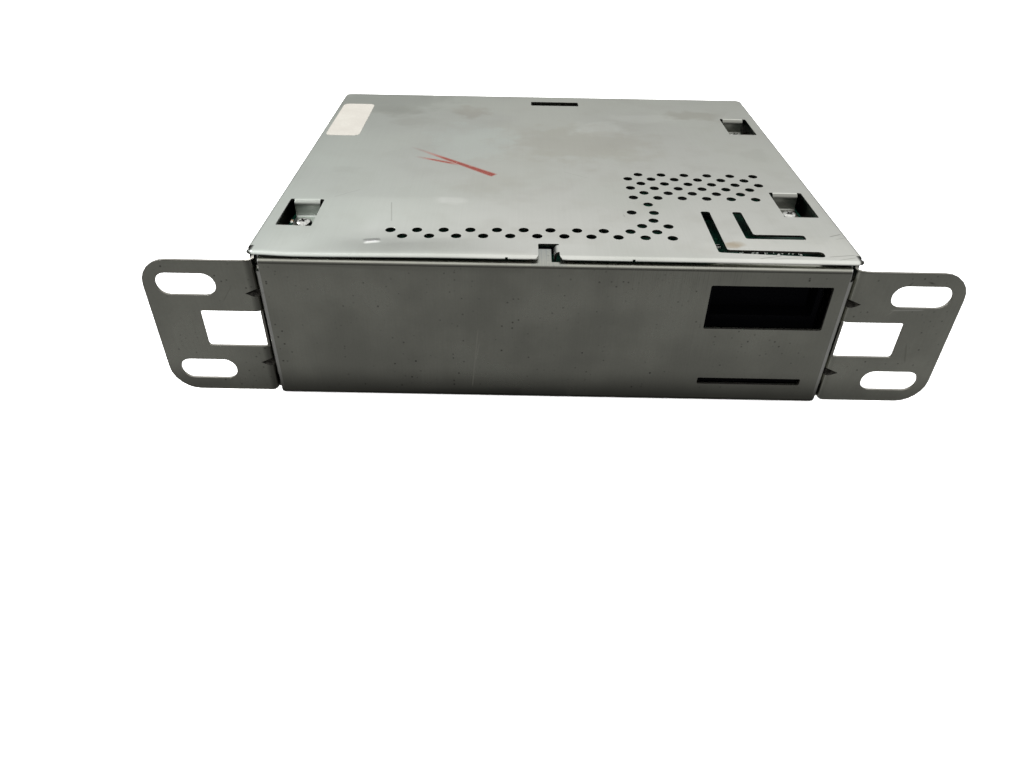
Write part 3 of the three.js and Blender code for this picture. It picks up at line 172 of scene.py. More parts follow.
def galvanised_lid():
    """Electro-galvanised steel sheet, rolled, pressed and then handled. It looks satin and pale, a little greener at
    the left, with painted shade that darkens it toward the back, faint smudges, hairline scratches, two strokes of
    wax crayon and a brown stain. A painted highlight lies on the dent's crease and along its fold, and painted shade
    darkens the tongues drawn down from the sheet, their bends, and the front corner reliefs nearly to black."""
    stray = 1.9  # how far a smudge's rim strays, as a share of its reach
    tongue_x, tongue_half, lip_back = 80.0, 4.4, 20.0
    bend_z, bend_half = LID_TOP - 1.1, 0.9
    relief_x, relief_full, relief_back = 87.8, 88.4, 4.3
    material, tree, shader, place = blank("galvanised_lid_sheet", metallic=1.0, roughness=0.34)
    parts = add(tree, "ShaderNodeSeparateXYZ", {"Vector": place}, out=None)
    clouds = clouded(tree, place, 38, 0.36, 0.64)
    smears = clouded(tree, place, 11, 0.45, 0.72)
    lines = rolled_lines(tree, place, (0.5, 40, 1))
    colour = tinted(tree, clouds, shade("#e3e4df"), shade("#d9dbd5"))
    colour = tinted(tree, smears, colour, shade("#c9c8bf"), most=0.25)
    leftward = add(tree, "ShaderNodeMapRange", {"Value": parts.outputs["X"], "From Min": -10.0, "From Max": -90.0})
    colour = tinted(tree, leftward, colour, shade("#d3dfd9"), most=0.5)
    # Painted shade: the sheet darkens toward the back.
    backward = add(tree, "ShaderNodeMapRange", {"Value": parts.outputs["Y"], "From Min": 20.0, "From Max": 157.0})
    colour = tinted(tree, backward, colour, shade("#bcc0b6"), most=0.5)
    drift = add(tree, "ShaderNodeTexNoise", {"Vector": place, "Scale": 1 / 8, "Detail": 5.0}, out="Color")
    astray = add(tree, "ShaderNodeVectorMath", {0: drift, 1: (0.5, 0.5, 0.5)}, operation="SUBTRACT")
    for centre, reach, tone, most in RUBBED + STAIN:
        shift = add(tree, "ShaderNodeVectorMath", {0: astray, "Scale": reach[1] * stray}, operation="SCALE")
        strayed = add(tree, "ShaderNodeVectorMath", {0: place, 1: shift})
        colour = tinted(tree, rubbed_patch(tree, strayed, centre, reach), colour, shade(tone), most)
    for start, end, width, most in HAIRLINES:
        scratch = drawn_mark(tree, place, start, end, (width, width), soft=0.12, fade=(0.8, 0.8))
        colour = tinted(tree, scratch, colour, shade("#77766c"), most)
    colour = tinted(tree, lines, colour, shade("#a9aba6"), most=0.12)
    # Painted highlight: a faint pale streak along the dent's fold and a white line on its crease, which also gets a
    # real bump.
    fold = drawn_mark(tree, place, (-57.0, 12.0), (-53.0, 34.0), (3.0, 6.0), soft=4.0, fade=(6, 14))
    crease = drawn_mark(tree, place, (-57.2, 9.3), (-52.0, 10.6), (2.2, 1.6), soft=0.9, fade=(1.5, 1.5))
    bright = add(tree, "ShaderNodeMath", {0: fold, 1: 0.15}, operation="MULTIPLY")
    painted_crease_highlight = add(tree, "ShaderNodeMath", {0: bright, 1: crease}, operation="MAXIMUM")
    colour = tinted(tree, painted_crease_highlight, colour, shade("#ffffff"), most=0.9)
    aside = add(tree, "ShaderNodeMath", {0: parts.outputs["X"]}, operation="ABSOLUTE")
    by_tongue = add(tree, "ShaderNodeMath", {0: aside, 1: tongue_x, 2: tongue_half}, operation="COMPARE")
    behind_lip = add(tree, "ShaderNodeMath", {0: parts.outputs["Y"], 1: lip_back}, operation="GREATER_THAN")
    tongues = add(tree, "ShaderNodeMath", {0: by_tongue, 1: behind_lip}, operation="MULTIPLY")
    rightward = add(tree, "ShaderNodeMath", {0: parts.outputs["X"], 1: 0.0}, operation="GREATER_THAN")
    below = add(tree, "ShaderNodeMath", {0: parts.outputs["Z"], 1: LID_FACE}, operation="LESS_THAN")
    drawn_down = add(tree, "ShaderNodeMath", {0: below, 1: rightward}, operation="MULTIPLY")
    at_bend = add(tree, "ShaderNodeMath", {0: parts.outputs["Z"], 1: bend_z, 2: bend_half}, operation="COMPARE")
    outward = add(tree, "ShaderNodeMapRange", {"Value": aside, "From Min": relief_x, "From Max": relief_full})
    at_corner = add(tree, "ShaderNodeMath", {0: parts.outputs["Y"], 1: relief_back}, operation="LESS_THAN")
    # Painted shade: darker tones on the tongues drawn down under the sheet, on their bends and in the front corner
    # reliefs.
    for one, other, tone, most in ((drawn_down, tongues, "#5f5f58", 0.6), (at_bend, tongues, "#85857f", 0.45),
                                   (outward, at_corner, "#1b1b18", 0.92)):
        painted_shade_share = add(tree, "ShaderNodeMath", {0: one, 1: other}, operation="MULTIPLY")
        colour = tinted(tree, painted_shade_share, colour, shade(tone), most)
    wax = clouded(tree, place, 0.7, 0.15, 0.42)
    main = drawn_mark(tree, place, (-52.5, 89.0), (-19.2, 61.0), (0.9, 3.0), soft=0.6, fade=(18, 1.0))
    second = drawn_mark(tree, place, (-49.5, 78.6), (-31.0, 70.4), (1.2, 1.8), soft=0.6, fade=(7, 6))
    both = add(tree, "ShaderNodeMath", {0: main, 1: second}, operation="MAXIMUM")
    crayon = add(tree, "ShaderNodeMath", {0: both, 1: wax}, operation="MULTIPLY")
    colour = tinted(tree, crayon, colour, shade("#b4665b"), most=0.95)
    tree.links.new(colour, shader.inputs["Base Color"])
    gloss = add(tree, "ShaderNodeMapRange", {"Value": clouds, "To Min": 0.32, "To Max": 0.38})
    waxed = add(tree, "ShaderNodeMath", {0: gloss, 1: crayon}, operation="MAXIMUM")
    tree.links.new(waxed, shader.inputs["Roughness"])
    grain = add(tree, "ShaderNodeBump", {"Height": lines, "Distance": ROLL_DEPTH})
    raised = add(tree, "ShaderNodeBump", {"Height": crease, "Distance": 0.5 * MM, "Normal": grain})
    tree.links.new(raised, shader.inputs["Normal"])
    return material


# Marks on the front plate and the ears, in mm across and up: a long scratch, and burrs by the right ear's slot.
FRONT_MARKS = [
    ((-24.8, 4.0), (-22.6, 27.0), 0.35, "#d8d6cc", 0.35), ((-23.6, 14.0), (-22.2, 22.0), 0.3, "#dedcd2", 0.3),
    ((101.6, 35.6), (112.2, 35.9), 0.5, "#f0efe9", 0.5), ((104.0, 43.4), (105.8, 45.6), 0.4, "#3a3934", 0.5),
    ((109.6, 45.6), (112.4, 44.6), 0.5, "#34332f", 0.55), ((101.0, 33.4), (103.6, 36.2), 0.3, "#dddbd2", 0.35),
    ((112.6, 16.0), (110.6, 24.0), 0.5, "#8f8d84", 0.4), ((-100.0, 34.0), (-96.0, 40.0), 0.3, "#8b8980", 0.3),
]


def galvanised_case():
    """The same steel on the case, a thicker sheet that was less handled. It looks darker and even, with a fine
    upright grain from the rolls, small dark pits in the zinc, and a few scratches on the front. Painted shade
    darkens the plate's low edge, its upper bend and the left ear's fold, and a painted highlight lightens the bends
    at its sides. A cloth left upright strokes beside the window, and the tab under the lid's notch is brushed and
    grey."""
    front_depth, plate_x, plate_end = 3.0, 88.2, 88.6
    bend_z, bend_half = 48.25, 0.4
    fold_x, fold_full = -91.2, -89.2
    side_x, side_half = 87.15, 0.7
    tab_x, tab_half, tab_z = -1.8, 5.2, 48.6
    material, tree, shader, place = blank("galvanised_case_sheet", metallic=1.0, roughness=0.29)
    clouds = clouded(tree, place, 24, 0.35, 0.65)
    lines = rolled_lines(tree, place, (0.5, 0.5, 16))
    grain = add(tree, "ShaderNodeTexNoise", {"Vector": place, "Scale": 1 / 0.9, "Detail": 3.0})
    pits = add(tree, "ShaderNodeTexVoronoi", {"Vector": place, "Scale": 1 / 1.7}, out=None)
    spot = add(tree, "ShaderNodeMapRange", {"Value": pits.outputs["Distance"], "From Min": 0.24, "From Max": 0.1})
    luck = add(tree, "ShaderNodeSeparateXYZ", {"Vector": pits.outputs["Color"]})
    chosen = add(tree, "ShaderNodeMapRange", {"Value": luck, "From Min": 0.55, "From Max": 0.95})
    cluster = clouded(tree, place, 16, 0.38, 0.6)
    pitted = add(tree, "ShaderNodeMath", {0: spot, 1: chosen}, operation="MULTIPLY")
    pitted = add(tree, "ShaderNodeMath", {0: pitted, 1: cluster}, operation="MULTIPLY")
    colour = tinted(tree, clouds, shade("#c3c4ba"), shade("#b6b7ae"))
    colour = tinted(tree, lines, colour, shade("#8a8880"), most=0.2)
    colour = tinted(tree, grain, colour, shade("#96948b"), most=0.3)
    colour = tinted(tree, pitted, colour, shade("#33322e"), most=0.75)
    parts = add(tree, "ShaderNodeSeparateXYZ", {"Vector": place}, out=None)
    front = add(tree, "ShaderNodeMath", {0: parts.outputs["Y"], 1: front_depth}, operation="LESS_THAN")
    aside = add(tree, "ShaderNodeMath", {0: parts.outputs["X"]}, operation="ABSOLUTE")
    on_plate = add(tree, "ShaderNodeMapRange", {
        "Value": aside, "From Min": plate_end, "From Max": plate_x, "To Min": 0.55,
    })
    low = add(tree, "ShaderNodeMapRange", {"Value": parts.outputs["Z"], "From Min": 13.0, "From Max": 0.0},
              interpolation_type="SMOOTHSTEP")
    by_bend = add(tree, "ShaderNodeMath", {0: parts.outputs["Z"], 1: bend_z, 2: bend_half}, operation="COMPARE")
    in_fold = add(tree, "ShaderNodeMapRange", {
        "Value": parts.outputs["X"], "From Min": fold_x, "From Max": fold_full,
    })
    left_of_plate = add(tree, "ShaderNodeMath", {0: parts.outputs["X"], 1: -plate_x}, operation="LESS_THAN")
    side_bend = add(tree, "ShaderNodeMath", {0: aside, 1: side_x, 2: side_half}, operation="COMPARE")
    above_low = add(tree, "ShaderNodeMapRange", {"Value": parts.outputs["Z"], "From Min": 2.0, "From Max": 14.0})
    # Painted shade on the plate's low edge, its upper bend and the left ear's fold, and a painted highlight on the
    # plate's side bends.
    for one, other, tone, most in (
            (low, on_plate, "#45443f", 0.85), (by_bend, on_plate, "#6f6e68", 0.6),
            (in_fold, left_of_plate, "#3f3e3a", 0.75), (side_bend, above_low, "#ffffff", 0.5)):
        both = add(tree, "ShaderNodeMath", {0: one, 1: other}, operation="MULTIPLY")
        painted_light_share = add(tree, "ShaderNodeMath", {0: both, 1: front}, operation="MULTIPLY")
        colour = tinted(tree, painted_light_share, colour, shade(tone), most)
    combed = rolled_lines(tree, place, (0.4, 12, 12))
    high = add(tree, "ShaderNodeMapRange", {"Value": parts.outputs["Z"], "From Min": 36.0, "From Max": 47.0})
    rightward = add(tree, "ShaderNodeMapRange", {"Value": parts.outputs["X"], "From Min": 5.0, "From Max": 45.0})
    by_window = add(tree, "ShaderNodeMapRange", {"Value": parts.outputs["X"], "From Min": 66.0, "From Max": 48.0})
    strokes = add(tree, "ShaderNodeMapRange", {"Value": combed, "From Min": 0.5, "From Max": 0.62})
    for share in (high, rightward, by_window):
        strokes = add(tree, "ShaderNodeMath", {0: strokes, 1: share}, operation="MULTIPLY")
    colour = tinted(tree, strokes, colour, shade("#84837c"), most=0.3)
    above = add(tree, "ShaderNodeMath", {0: parts.outputs["Z"], 1: tab_z}, operation="GREATER_THAN")
    on_tab = add(tree, "ShaderNodeMath", {0: parts.outputs["X"], 1: tab_x, 2: tab_half}, operation="COMPARE")
    on_tab = add(tree, "ShaderNodeMath", {0: on_tab, 1: above}, operation="MULTIPLY")
    backward = add(tree, "ShaderNodeMapRange", {
        "Value": parts.outputs["Y"], "From Min": 0.8, "From Max": 7.0, "To Min": 0.25, "To Max": 0.7,
    })
    brushed = add(tree, "ShaderNodeMapRange", {"Value": combed, "From Min": 0.42, "From Max": 0.6, "To Max": 0.35})
    worn = add(tree, "ShaderNodeMath", {0: backward, 1: brushed})
    worn = add(tree, "ShaderNodeMath", {0: worn, 1: on_tab}, operation="MULTIPLY")
    colour = tinted(tree, worn, colour, shade("#868c90"), most=0.7)
    upright = add(tree, "ShaderNodeMapping", {"Vector": place, "Rotation": (-math.pi / 2, 0, 0)})
    for start, end, width, tone, most in FRONT_MARKS:
        scratch = drawn_mark(tree, upright, start, end, (width, width), soft=0.15, fade=(1.5, 1.5))
        seen = add(tree, "ShaderNodeMath", {0: scratch, 1: front}, operation="MULTIPLY")
        colour = tinted(tree, seen, colour, shade(tone), most)
    tree.links.new(colour, shader.inputs["Base Color"])
    gloss = add(tree, "ShaderNodeMapRange", {"Value": clouds, "To Min": 0.27, "To Max": 0.32})
    tree.links.new(gloss, shader.inputs["Roughness"])
    bump = add(tree, "ShaderNodeBump", {"Height": lines, "Distance": ROLL_DEPTH})
    tree.links.new(bump, shader.inputs["Normal"])
    return material


def sheared_steel(name, light, dark):
    """The cut edge of the sheet, bare where the shear broke through the zinc: a thin line with marks across."""
    material, tree, shader, place = blank(name, metallic=1.0, roughness=0.42)
    marks = rolled_lines(tree, place, (0.4, 0.4, 1.2))
    tree.links.new(tinted(tree, marks, shade(light), shade(dark)), shader.inputs["Base Color"])
    return material


def pressed_pit():
    """The steel inside the pits that stiffen the fold of an ear, and in the cross recesses of the screws. Its colour
    is painted shade, so it is nearly black, and it is dull."""
    material, tree, shader, place = blank("painted_shade_pit_steel", metallic=0.6, roughness=0.6)
    pit_mottle = clouded(tree, place, 0.9, 0.35, 0.65)
    tree.links.new(tinted(tree, pit_mottle, shade("#1d1c1a"), shade("#3a3834")), shader.inputs["Base Color"])
    return material


def zinc_plated():
    """Zinc-plated screw steel, tumbled in a barrel: bright, with fine tumbling marks."""
    material, tree, shader, place = blank("zinc_plated_screw", metallic=1.0, roughness=0.22)
    marks = clouded(tree, place, 0.6, 0.35, 0.7)
    tree.links.new(tinted(tree, marks, shade("#e6e7e3"), shade("#b4b5b2")), shader.inputs["Base Color"])
    gloss = add(tree, "ShaderNodeMapRange", {"Value": marks, "To Min": 0.18, "To Max": 0.32})
    tree.links.new(gloss, shader.inputs["Roughness"])
    return material


def solder_resist():
    """Green solder resist over copper tracks on glass laminate: dark, with slightly lighter tracks under it."""
    material, tree, shader, place = blank("solder_resist_board", metallic=0.0, roughness=0.5, specular=0.15)
    tracks = add(tree, "ShaderNodeTexVoronoi", {"Vector": place, "Scale": 1 / 2.6}, distance="MANHATTAN")
    line = add(tree, "ShaderNodeMapRange", {"Value": tracks, "From Min": 0.3, "From Max": 0.36})
    tree.links.new(tinted(tree, line, shade("#22573f"), shade("#12352a")), shader.inputs["Base Color"])
    return material


def moulded(name, dark, light, roughness, grain, specular=0.4):
    """What comes out of a mould, a kiln or a shrink oven, such as glass-filled polyester, epoxy, ceramic, ferrite or
    a sleeve: one even tone, as dull as it is rough, with a fine grain. Solder under its film of flux is done in
    the same way, because the flux shines on it like varnish."""
    material, tree, shader, place = blank(name, metallic=0.0, roughness=roughness, specular=specular)
    fine = clouded(tree, place, grain, 0.3, 0.7)
    tree.links.new(tinted(tree, fine, shade(dark), shade(light)), shader.inputs["Base Color"])
    bump = add(tree, "ShaderNodeBump", {"Height": fine, "Distance": 0.01 * MM})
    tree.links.new(bump, shader.inputs["Normal"])
    return material


def tarnished_metal(name, light, dark, roughness, size):
    """A plated, drawn or turned metal: even, with slight tarnish in patches that also dulls it."""
    material, tree, shader, place = blank(name, metallic=1.0, roughness=roughness)
    patches = clouded(tree, place, size, 0.35, 0.7)
    tree.links.new(tinted(tree, patches, shade(light), shade(dark)), shader.inputs["Base Color"])
    gloss = add(tree, "ShaderNodeMapRange", {
        "Value": patches, "To Min": roughness * 0.85, "To Max": roughness * 1.2,
    })
    tree.links.new(gloss, shader.inputs["Roughness"])
    return material


def label_paper():
    """Coated label paper, bare, with a matt face that has yellowed and greyed a little, in soft patches."""
    material, tree, shader, place = blank("coated_label_paper", metallic=0.0, roughness=0.6, specular=0.3)
    fibres = clouded(tree, place, 0.8, 0.3, 0.7)
    aged = clouded(tree, place, 9, 0.35, 0.65)
    colour = tinted(tree, fibres, shade("#a9a69f"), shade("#a3a099"))
    tree.links.new(tinted(tree, aged, colour, shade("#9e9a93"), most=0.5), shader.inputs["Base Color"])
    return material


LID_SHEET = galvanised_lid()
CASE_SHEET = galvanised_case()
# The lid's cut edges line its slots and holes, and their tones, darker than the case's, are painted shade.
LID_EDGE = sheared_steel("sheared_lid_edge", "#5c5c57", "#41403c")
CASE_EDGE = sheared_steel("sheared_case_edge", "#bdbbb3", "#77756f")
PIT = pressed_pit()
SCREW_ZINC = zinc_plated()
BOARD = solder_resist()
LABEL_PAPER = label_paper()
BLACK_PBT = moulded("moulded_black_polyester", "#050506", "#08080a", 0.7, 0.5, 0.06)
# Painted shade: the plug behind the front window is blacker and duller than the other mouldings, so the window looks
# like a dark hollow.
SHADED_PLUG = moulded("painted_shade_black_plug", "#020203", "#040405", 0.85, 0.5, 0.02)
EPOXY = moulded("moulded_black_epoxy", "#121314", "#18191a", 0.6, 0.4)
CERAMIC = moulded("fired_tan_ceramic", "#8a6a4c", "#9a7a58", 0.5, 0.5)
SLEEVE = moulded("shrunk_dark_sleeve", "#20242b", "#272c34", 0.35, 1.2)
IVORY = moulded("moulded_ivory_insulator", "#d9d3c2", "#e4dfd0", 0.45, 0.8)
FERRITE = moulded("sintered_ferrite", "#2b2a29", "#343230", 0.7, 0.4)
FUSE = moulded("moulded_red_fuse_body", "#8f1f19", "#a3281f", 0.3, 1.5)
TINPLATE = tarnished_metal("tinned_steel_shell", "#d2d3cf", "#b5b6b1", 0.3, 5)
SOLDER = moulded("solder_under_flux", "#d9dbd4", "#eceee8", 0.3, 0.4, 0.8)
SINK = tarnished_metal("extruded_aluminium", "#b9bbbd", "#a2a4a6", 0.45, 8)
SPRING = tarnished_metal("rolled_spring_steel", "#9a9b9c", "#838485", 0.35, 4)
BRASS = tarnished_metal("turned_brass", "#c9a765", "#b18f50", 0.3, 3)


# Making pieces.
def at(x, y, z):
    """A place given in mm from the middle, the front plate's face and the base."""
    return Vector((x, y + SHIFT_Y, z)) * MM


def activate(piece):
    """Makes this the one piece that the next steps work on."""
    bpy.ops.object.select_all(action="DESELECT")
    piece.select_set(True)
    bpy.context.view_layer.objects.active = piece


def finish_modifier(piece, kind, **settings):
    """Adds a modifier to a piece and applies it."""
    activate(piece)
    made = piece.modifiers.new(kind.lower(), kind)
    for key, value in settings.items():
        setattr(made, key, value)
    bpy.ops.object.modifier_apply(modifier=made.name)


def pick_faces(piece, chosen):
    """Goes into edit mode with only the faces that pass a test selected."""
    bpy.ops.object.mode_set(mode="OBJECT")
    activate(piece)
    bpy.context.tool_settings.mesh_select_mode = (False, False, True)
    bpy.ops.object.mode_set(mode="EDIT")
    bpy.ops.mesh.select_all(action="DESELECT")
    bpy.ops.object.mode_set(mode="OBJECT")
    for face in piece.data.polygons:
        face.select = chosen(face)
    bpy.ops.object.mode_set(mode="EDIT")


def cubed(name, centre, size):
    """A block to start from, at its place, with its size in its mesh."""
    bpy.ops.mesh.primitive_cube_add(size=1, location=(0, 0, 0))
    piece = bpy.context.object
    piece.name = piece.data.name = name
    piece.data.transform(Matrix.Translation(centre) @ Matrix.Diagonal((*(s * MM for s in size), 1)))
    return piece


def mount_piece(piece, slot, *replaced):
    """Puts a piece on the body, in the place of the nodes that it replaces, which it hides. Its slot is not used."""
    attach(piece, "root")
    if replaced:
        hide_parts(*replaced)


def smoothed(low, high, value):
    """A share that rises softly from 0 at one value to 1 at another."""
    share = min(max((value - low) / (high - low), 0), 1)
    return share * share * (3 - 2 * share)


def press_dent(piece):
    """Presses the lid's shallow dent, behind its front edge at the left, deepest by the dent's crease. The lid's
    face also goes down by a paper's thickness, so that the label ends level with the solid."""
    bpy.ops.object.mode_set(mode="EDIT")
    cuts = [((x, 0), (1, 0, 0)) for x in range(-84, 8, 4)] + [((0, y), (0, 1, 0)) for y in range(3, 45, 3)]
    for (x, y), normal in cuts:
        bpy.ops.mesh.select_all(action="SELECT")
        bpy.ops.mesh.bisect(plane_co=at(x, y, 0), plane_no=normal)
    bpy.ops.object.mode_set(mode="OBJECT")
    deepest, lip_depth, label_room = 0.92, 0.42, 0.06
    sheet_under, crease_x, dent_width, dent_back = 50.3, -50, 56, 46
    for vertex in piece.data.vertices:
        x, y, z = vertex.co / MM
        y -= SHIFT_Y
        if z > LID_FACE:
            vertex.co.z -= label_room * MM
        rightward = max(1 - (x - crease_x) / dent_width, 0) ** 1.35
        rising = rightward if x > crease_x else smoothed(-86, -52, x)
        at_lip = lip_depth * smoothed(-88, -76, x) * (1 - smoothed(-76, -28, x))
        inward = smoothed(0, 13, y)
        behind = 1 - smoothed(14, dent_back, y)
        if z > sheet_under and y < dent_back:
            vertex.co.z -= ((1 - inward) * at_lip + inward * behind * deepest * min(rising, 1)) * MM


def tab_and_nicks(piece):
    """Draws the front flange up and back under the lid's notch, into a tab, and nicks the plate's upper corners."""
    bpy.ops.object.mode_set(mode="EDIT")
    left, right, bend, reach, rise = -9.0, 6.0, 0.4, 1.4, 1.05
    flange_bottom, flange_front, flange_back = 48, 5.3, 6.2
    plate_corner, punch_size = 88.0, (2.8, 4.2, 6.4)
    for x in (left, left + bend, right - bend, right):
        bpy.ops.mesh.select_all(action="SELECT")
        bpy.ops.mesh.bisect(plane_co=at(x, 0, 0), plane_no=(1, 0, 0))
    bpy.ops.object.mode_set(mode="OBJECT")
    for vertex in piece.data.vertices:
        x, y, z = vertex.co / MM
        across = left + bend / 2 < x < right - bend / 2
        if z > flange_bottom and across and flange_front < y - SHIFT_Y < flange_back:
            vertex.co.y += reach * MM
            vertex.co.z += rise * MM
    for x in (-plate_corner, plate_corner):
        punch = cubed("corner_punch", at(x, 0.6, 48.5), punch_size)
        finish_modifier(piece, "BOOLEAN", operation="DIFFERENCE", solver="EXACT", object=punch)
        bpy.data.objects.remove(punch)


def lower_shoulder(piece):
    """Takes the side wall's front end down to the ear's top edge, as a press would, and leaves the rest."""
    cut, ear_top, left_over = 4.2, 48.2, 0.12
    bpy.ops.object.mode_set(mode="EDIT")
    bpy.ops.mesh.select_all(action="SELECT")
    bpy.ops.mesh.bisect(plane_co=at(0, cut, 0), plane_no=(0, 1, 0))
    bpy.ops.object.mode_set(mode="OBJECT")
    for vertex in piece.data.vertices:
        over = vertex.co.z / MM - ear_top
        if over > 0.05 and vertex.co.y / MM - SHIFT_Y < cut - 0.1:
            vertex.co.z = (ear_top + over * left_over) * MM


def folded_sheet(node, name, thickness, sheet, edge, slot, shape=None):
    """A sheet-metal node again, with its cut edges broken, its bends smooth and its pits painted dark as shade. A
    face with more steel behind it than the sheet is thick is a cut edge, and a leaning one at an ear's fold is
    inside a pit."""
    just_inside, edge_behind = 0.01 * MM, 1.7 * thickness * MM
    pit_inner, pit_outer, pit_back = 88.5, 96, 6
    piece = NODES[node].copy()
    piece.data = NODES[node].data.copy()
    piece.name = piece.data.name = name
    piece.parent = None
    bpy.context.scene.collection.objects.link(piece)
    for key in [k for k in piece.keys() if k.startswith("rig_")]:
        del piece[key]
    piece.data.materials.clear()
    for material in (sheet, edge, PIT):
        piece.data.materials.append(material)
    activate(piece)
    bpy.ops.object.mode_set(mode="EDIT")
    bpy.ops.mesh.select_all(action="SELECT")
    bpy.ops.mesh.remove_doubles(threshold=1e-6)
    bpy.ops.mesh.dissolve_limited(angle_limit=math.radians(0.6))
    bpy.ops.object.mode_set(mode="OBJECT")
    mesh = piece.data
    mesh.calc_loop_triangles()
    centres = {t.polygon_index: t.center.copy() for t in mesh.loop_triangles}
    for face in mesh.polygons:
        start = centres[face.index] - face.normal * just_inside
        hit, place, _, _ = piece.ray_cast(start, -face.normal)
        face.material_index = int(hit and (place - start).length > edge_behind)
        middle = face.center / MM
        at_fold = pit_inner < abs(middle.x) < pit_outer and middle.y - SHIFT_Y < pit_back
        leaning = abs(face.normal.z) > 0.2 and face.normal.y < -0.1
        if slot == "zinc_steel" and at_fold and leaning:
            face.material_index = 2
    finish_modifier(piece, "BEVEL", width=0.1 * MM, segments=2, limit_method="ANGLE",
                    angle_limit=math.radians(40), miter_outer="MITER_ARC")
    if shape:
        shape(piece)
    activate(piece)
    bpy.ops.object.shade_smooth_by_angle(angle=math.radians(32))
    finish_modifier(piece, "WEIGHTED_NORMAL", weight=100, keep_sharp=True)
    mount_piece(piece, slot, node)


folded_sheet("lid", "lid_sheet", 0.7, LID_SHEET, LID_EDGE, "lid_steel", press_dent)
folded_sheet("base_tray", "base_sheet", 1.0, CASE_SHEET, CASE_EDGE, "zinc_steel", tab_and_nicks)
folded_sheet("side_wall_left", "left_wall_sheet", 0.8, CASE_SHEET, CASE_EDGE, "zinc_steel", lower_shoulder)
folded_sheet("side_wall_right", "right_wall_sheet", 0.8, CASE_SHEET, CASE_EDGE, "zinc_steel", lower_shoulder)
folded_sheet("rear_panel", "rear_sheet", 1.0, CASE_SHEET, CASE_EDGE, "zinc_steel")

FINISHES = {
    "zinc_steel": CASE_SHEET, "lid_steel": LID_SHEET, "screw_steel": SCREW_ZINC, "spring_steel": SPRING,
    "sink_aluminium": SINK, "tinned_steel": TINPLATE, "brass": BRASS, "board": BOARD, "black_moulding": BLACK_PBT,
    "dark_moulding": SLEEVE, "pale_insulator": IVORY, "chip": EPOXY, "ferrite": FERRITE, "fuse_red": FUSE,
}
for entry in frame["record"]["subparts"]:
    mesh = NODES[entry["node"]].data
    mesh.materials.clear()
    mesh.materials.append(SHADED_PLUG if entry["node"] == "window_plug" else FINISHES[entry["material_slot"]])


def pan_screw(length):
    """A pan-head cross screw with its seat at the origin, its head up and its thread down."""
    head, shank, pitch, bite, recess = 2.8, 1.3, 0.5, 1.16, 1.8
    bpy.ops.mesh.primitive_cylinder_add(vertices=28, radius=head * MM, depth=HEAD_HEIGHT * MM,
                                        location=(0, 0, HEAD_HEIGHT / 2 * MM))
    screw = bpy.context.object
    screw.data.transform(screw.matrix_world)
    screw.matrix_world = Matrix()
    pick_faces(screw, lambda face: face.normal.z > 0.9)
    bpy.ops.mesh.bevel(offset=1.2 * MM, segments=5, affect="EDGES")
    pick_faces(screw, lambda face: face.normal.z < -0.9)
    bpy.ops.mesh.inset(thickness=(head - shank) * MM)
    for turn in range(round(length / pitch) * 2):
        bpy.ops.mesh.extrude_region_move(TRANSFORM_OT_translate={"value": (0, 0, -pitch / 2 * MM)})
        size = bite if turn % 2 == 0 else 1 / bite
        bpy.ops.transform.resize(value=(size, size, 1), center_override=(0, 0, -length * MM))
    bpy.ops.object.mode_set(mode="OBJECT")
    for turned in (0, math.pi / 2):
        arm = cubed("cross_cutter", (0, 0, (HEAD_HEIGHT - 0.1) * MM), (3.3, 0.75, 2.0))
        pick_faces(arm, lambda face: face.normal.z < -0.9)
        bpy.ops.transform.resize(value=(0.45, 0.8, 1))
        bpy.ops.object.mode_set(mode="OBJECT")
        arm.data.transform(Matrix.Rotation(turned + 0.5, 4, "Z"))
        finish_modifier(screw, "BOOLEAN", operation="DIFFERENCE", object=arm, solver="EXACT")
        bpy.data.objects.remove(arm)
    activate(screw)
    bpy.ops.object.shade_smooth_by_angle(angle=math.radians(35))
    screw.data.materials.clear()
    for material in (SCREW_ZINC, PIT):
        screw.data.materials.append(material)
    # The cross recess takes the pit's painted shade.
    for face in screw.data.polygons:
        x, y, z = face.center / MM
        face.material_index = int(math.hypot(x, y) < recess and 0.05 < z < HEAD_HEIGHT - 0.05)
    return screw


# The screws by the length of their thread in mm, each one by its node and the way that its thread points.
SCREWS = {
    5.5: {"board_screw_1": (0, 0, -1), "board_screw_2": (0, 0, -1), "board_screw_3": (0, 0, -1),
          "clamp_screw_left": (0, 1, 0), "clamp_screw_right": (0, 1, 0)},
    4.0: {"front_side_screw_left": (1, 0, 0), "front_side_screw_right": (-1, 0, 0),
          "rear_side_screw_left": (1, 0, 0), "rear_side_screw_right": (-1, 0, 0),
          "rear_screw_left": (0, -1, 0), "rear_screw_right": (0, -1, 0)},
    7.0: {"sink_screw_1": (0, -1, 0), "sink_screw_2": (0, -1, 0)},
}
for length, group in SCREWS.items():
    pattern = pan_screw(length)
    for node, way in group.items():
        low, high = (Vector(corner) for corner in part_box(node))
        away = -Vector(way)
        middle = (low + high) / 2
        tip = Vector([m + a * (h - l) / 2 for m, a, l, h in zip(middle, away, low, high)])
        turn = Vector((0, 0, 1)).rotation_difference(away).to_matrix().to_4x4()
        piece = bpy.data.objects.new(node + "_pan_head", pattern.data.copy())
        piece.data.transform(Matrix.Translation(tip - away * HEAD_HEIGHT * MM) @ turn)
        bpy.context.scene.collection.objects.link(piece)
        mount_piece(piece, "screw_steel", node)
    bpy.data.objects.remove(pattern)


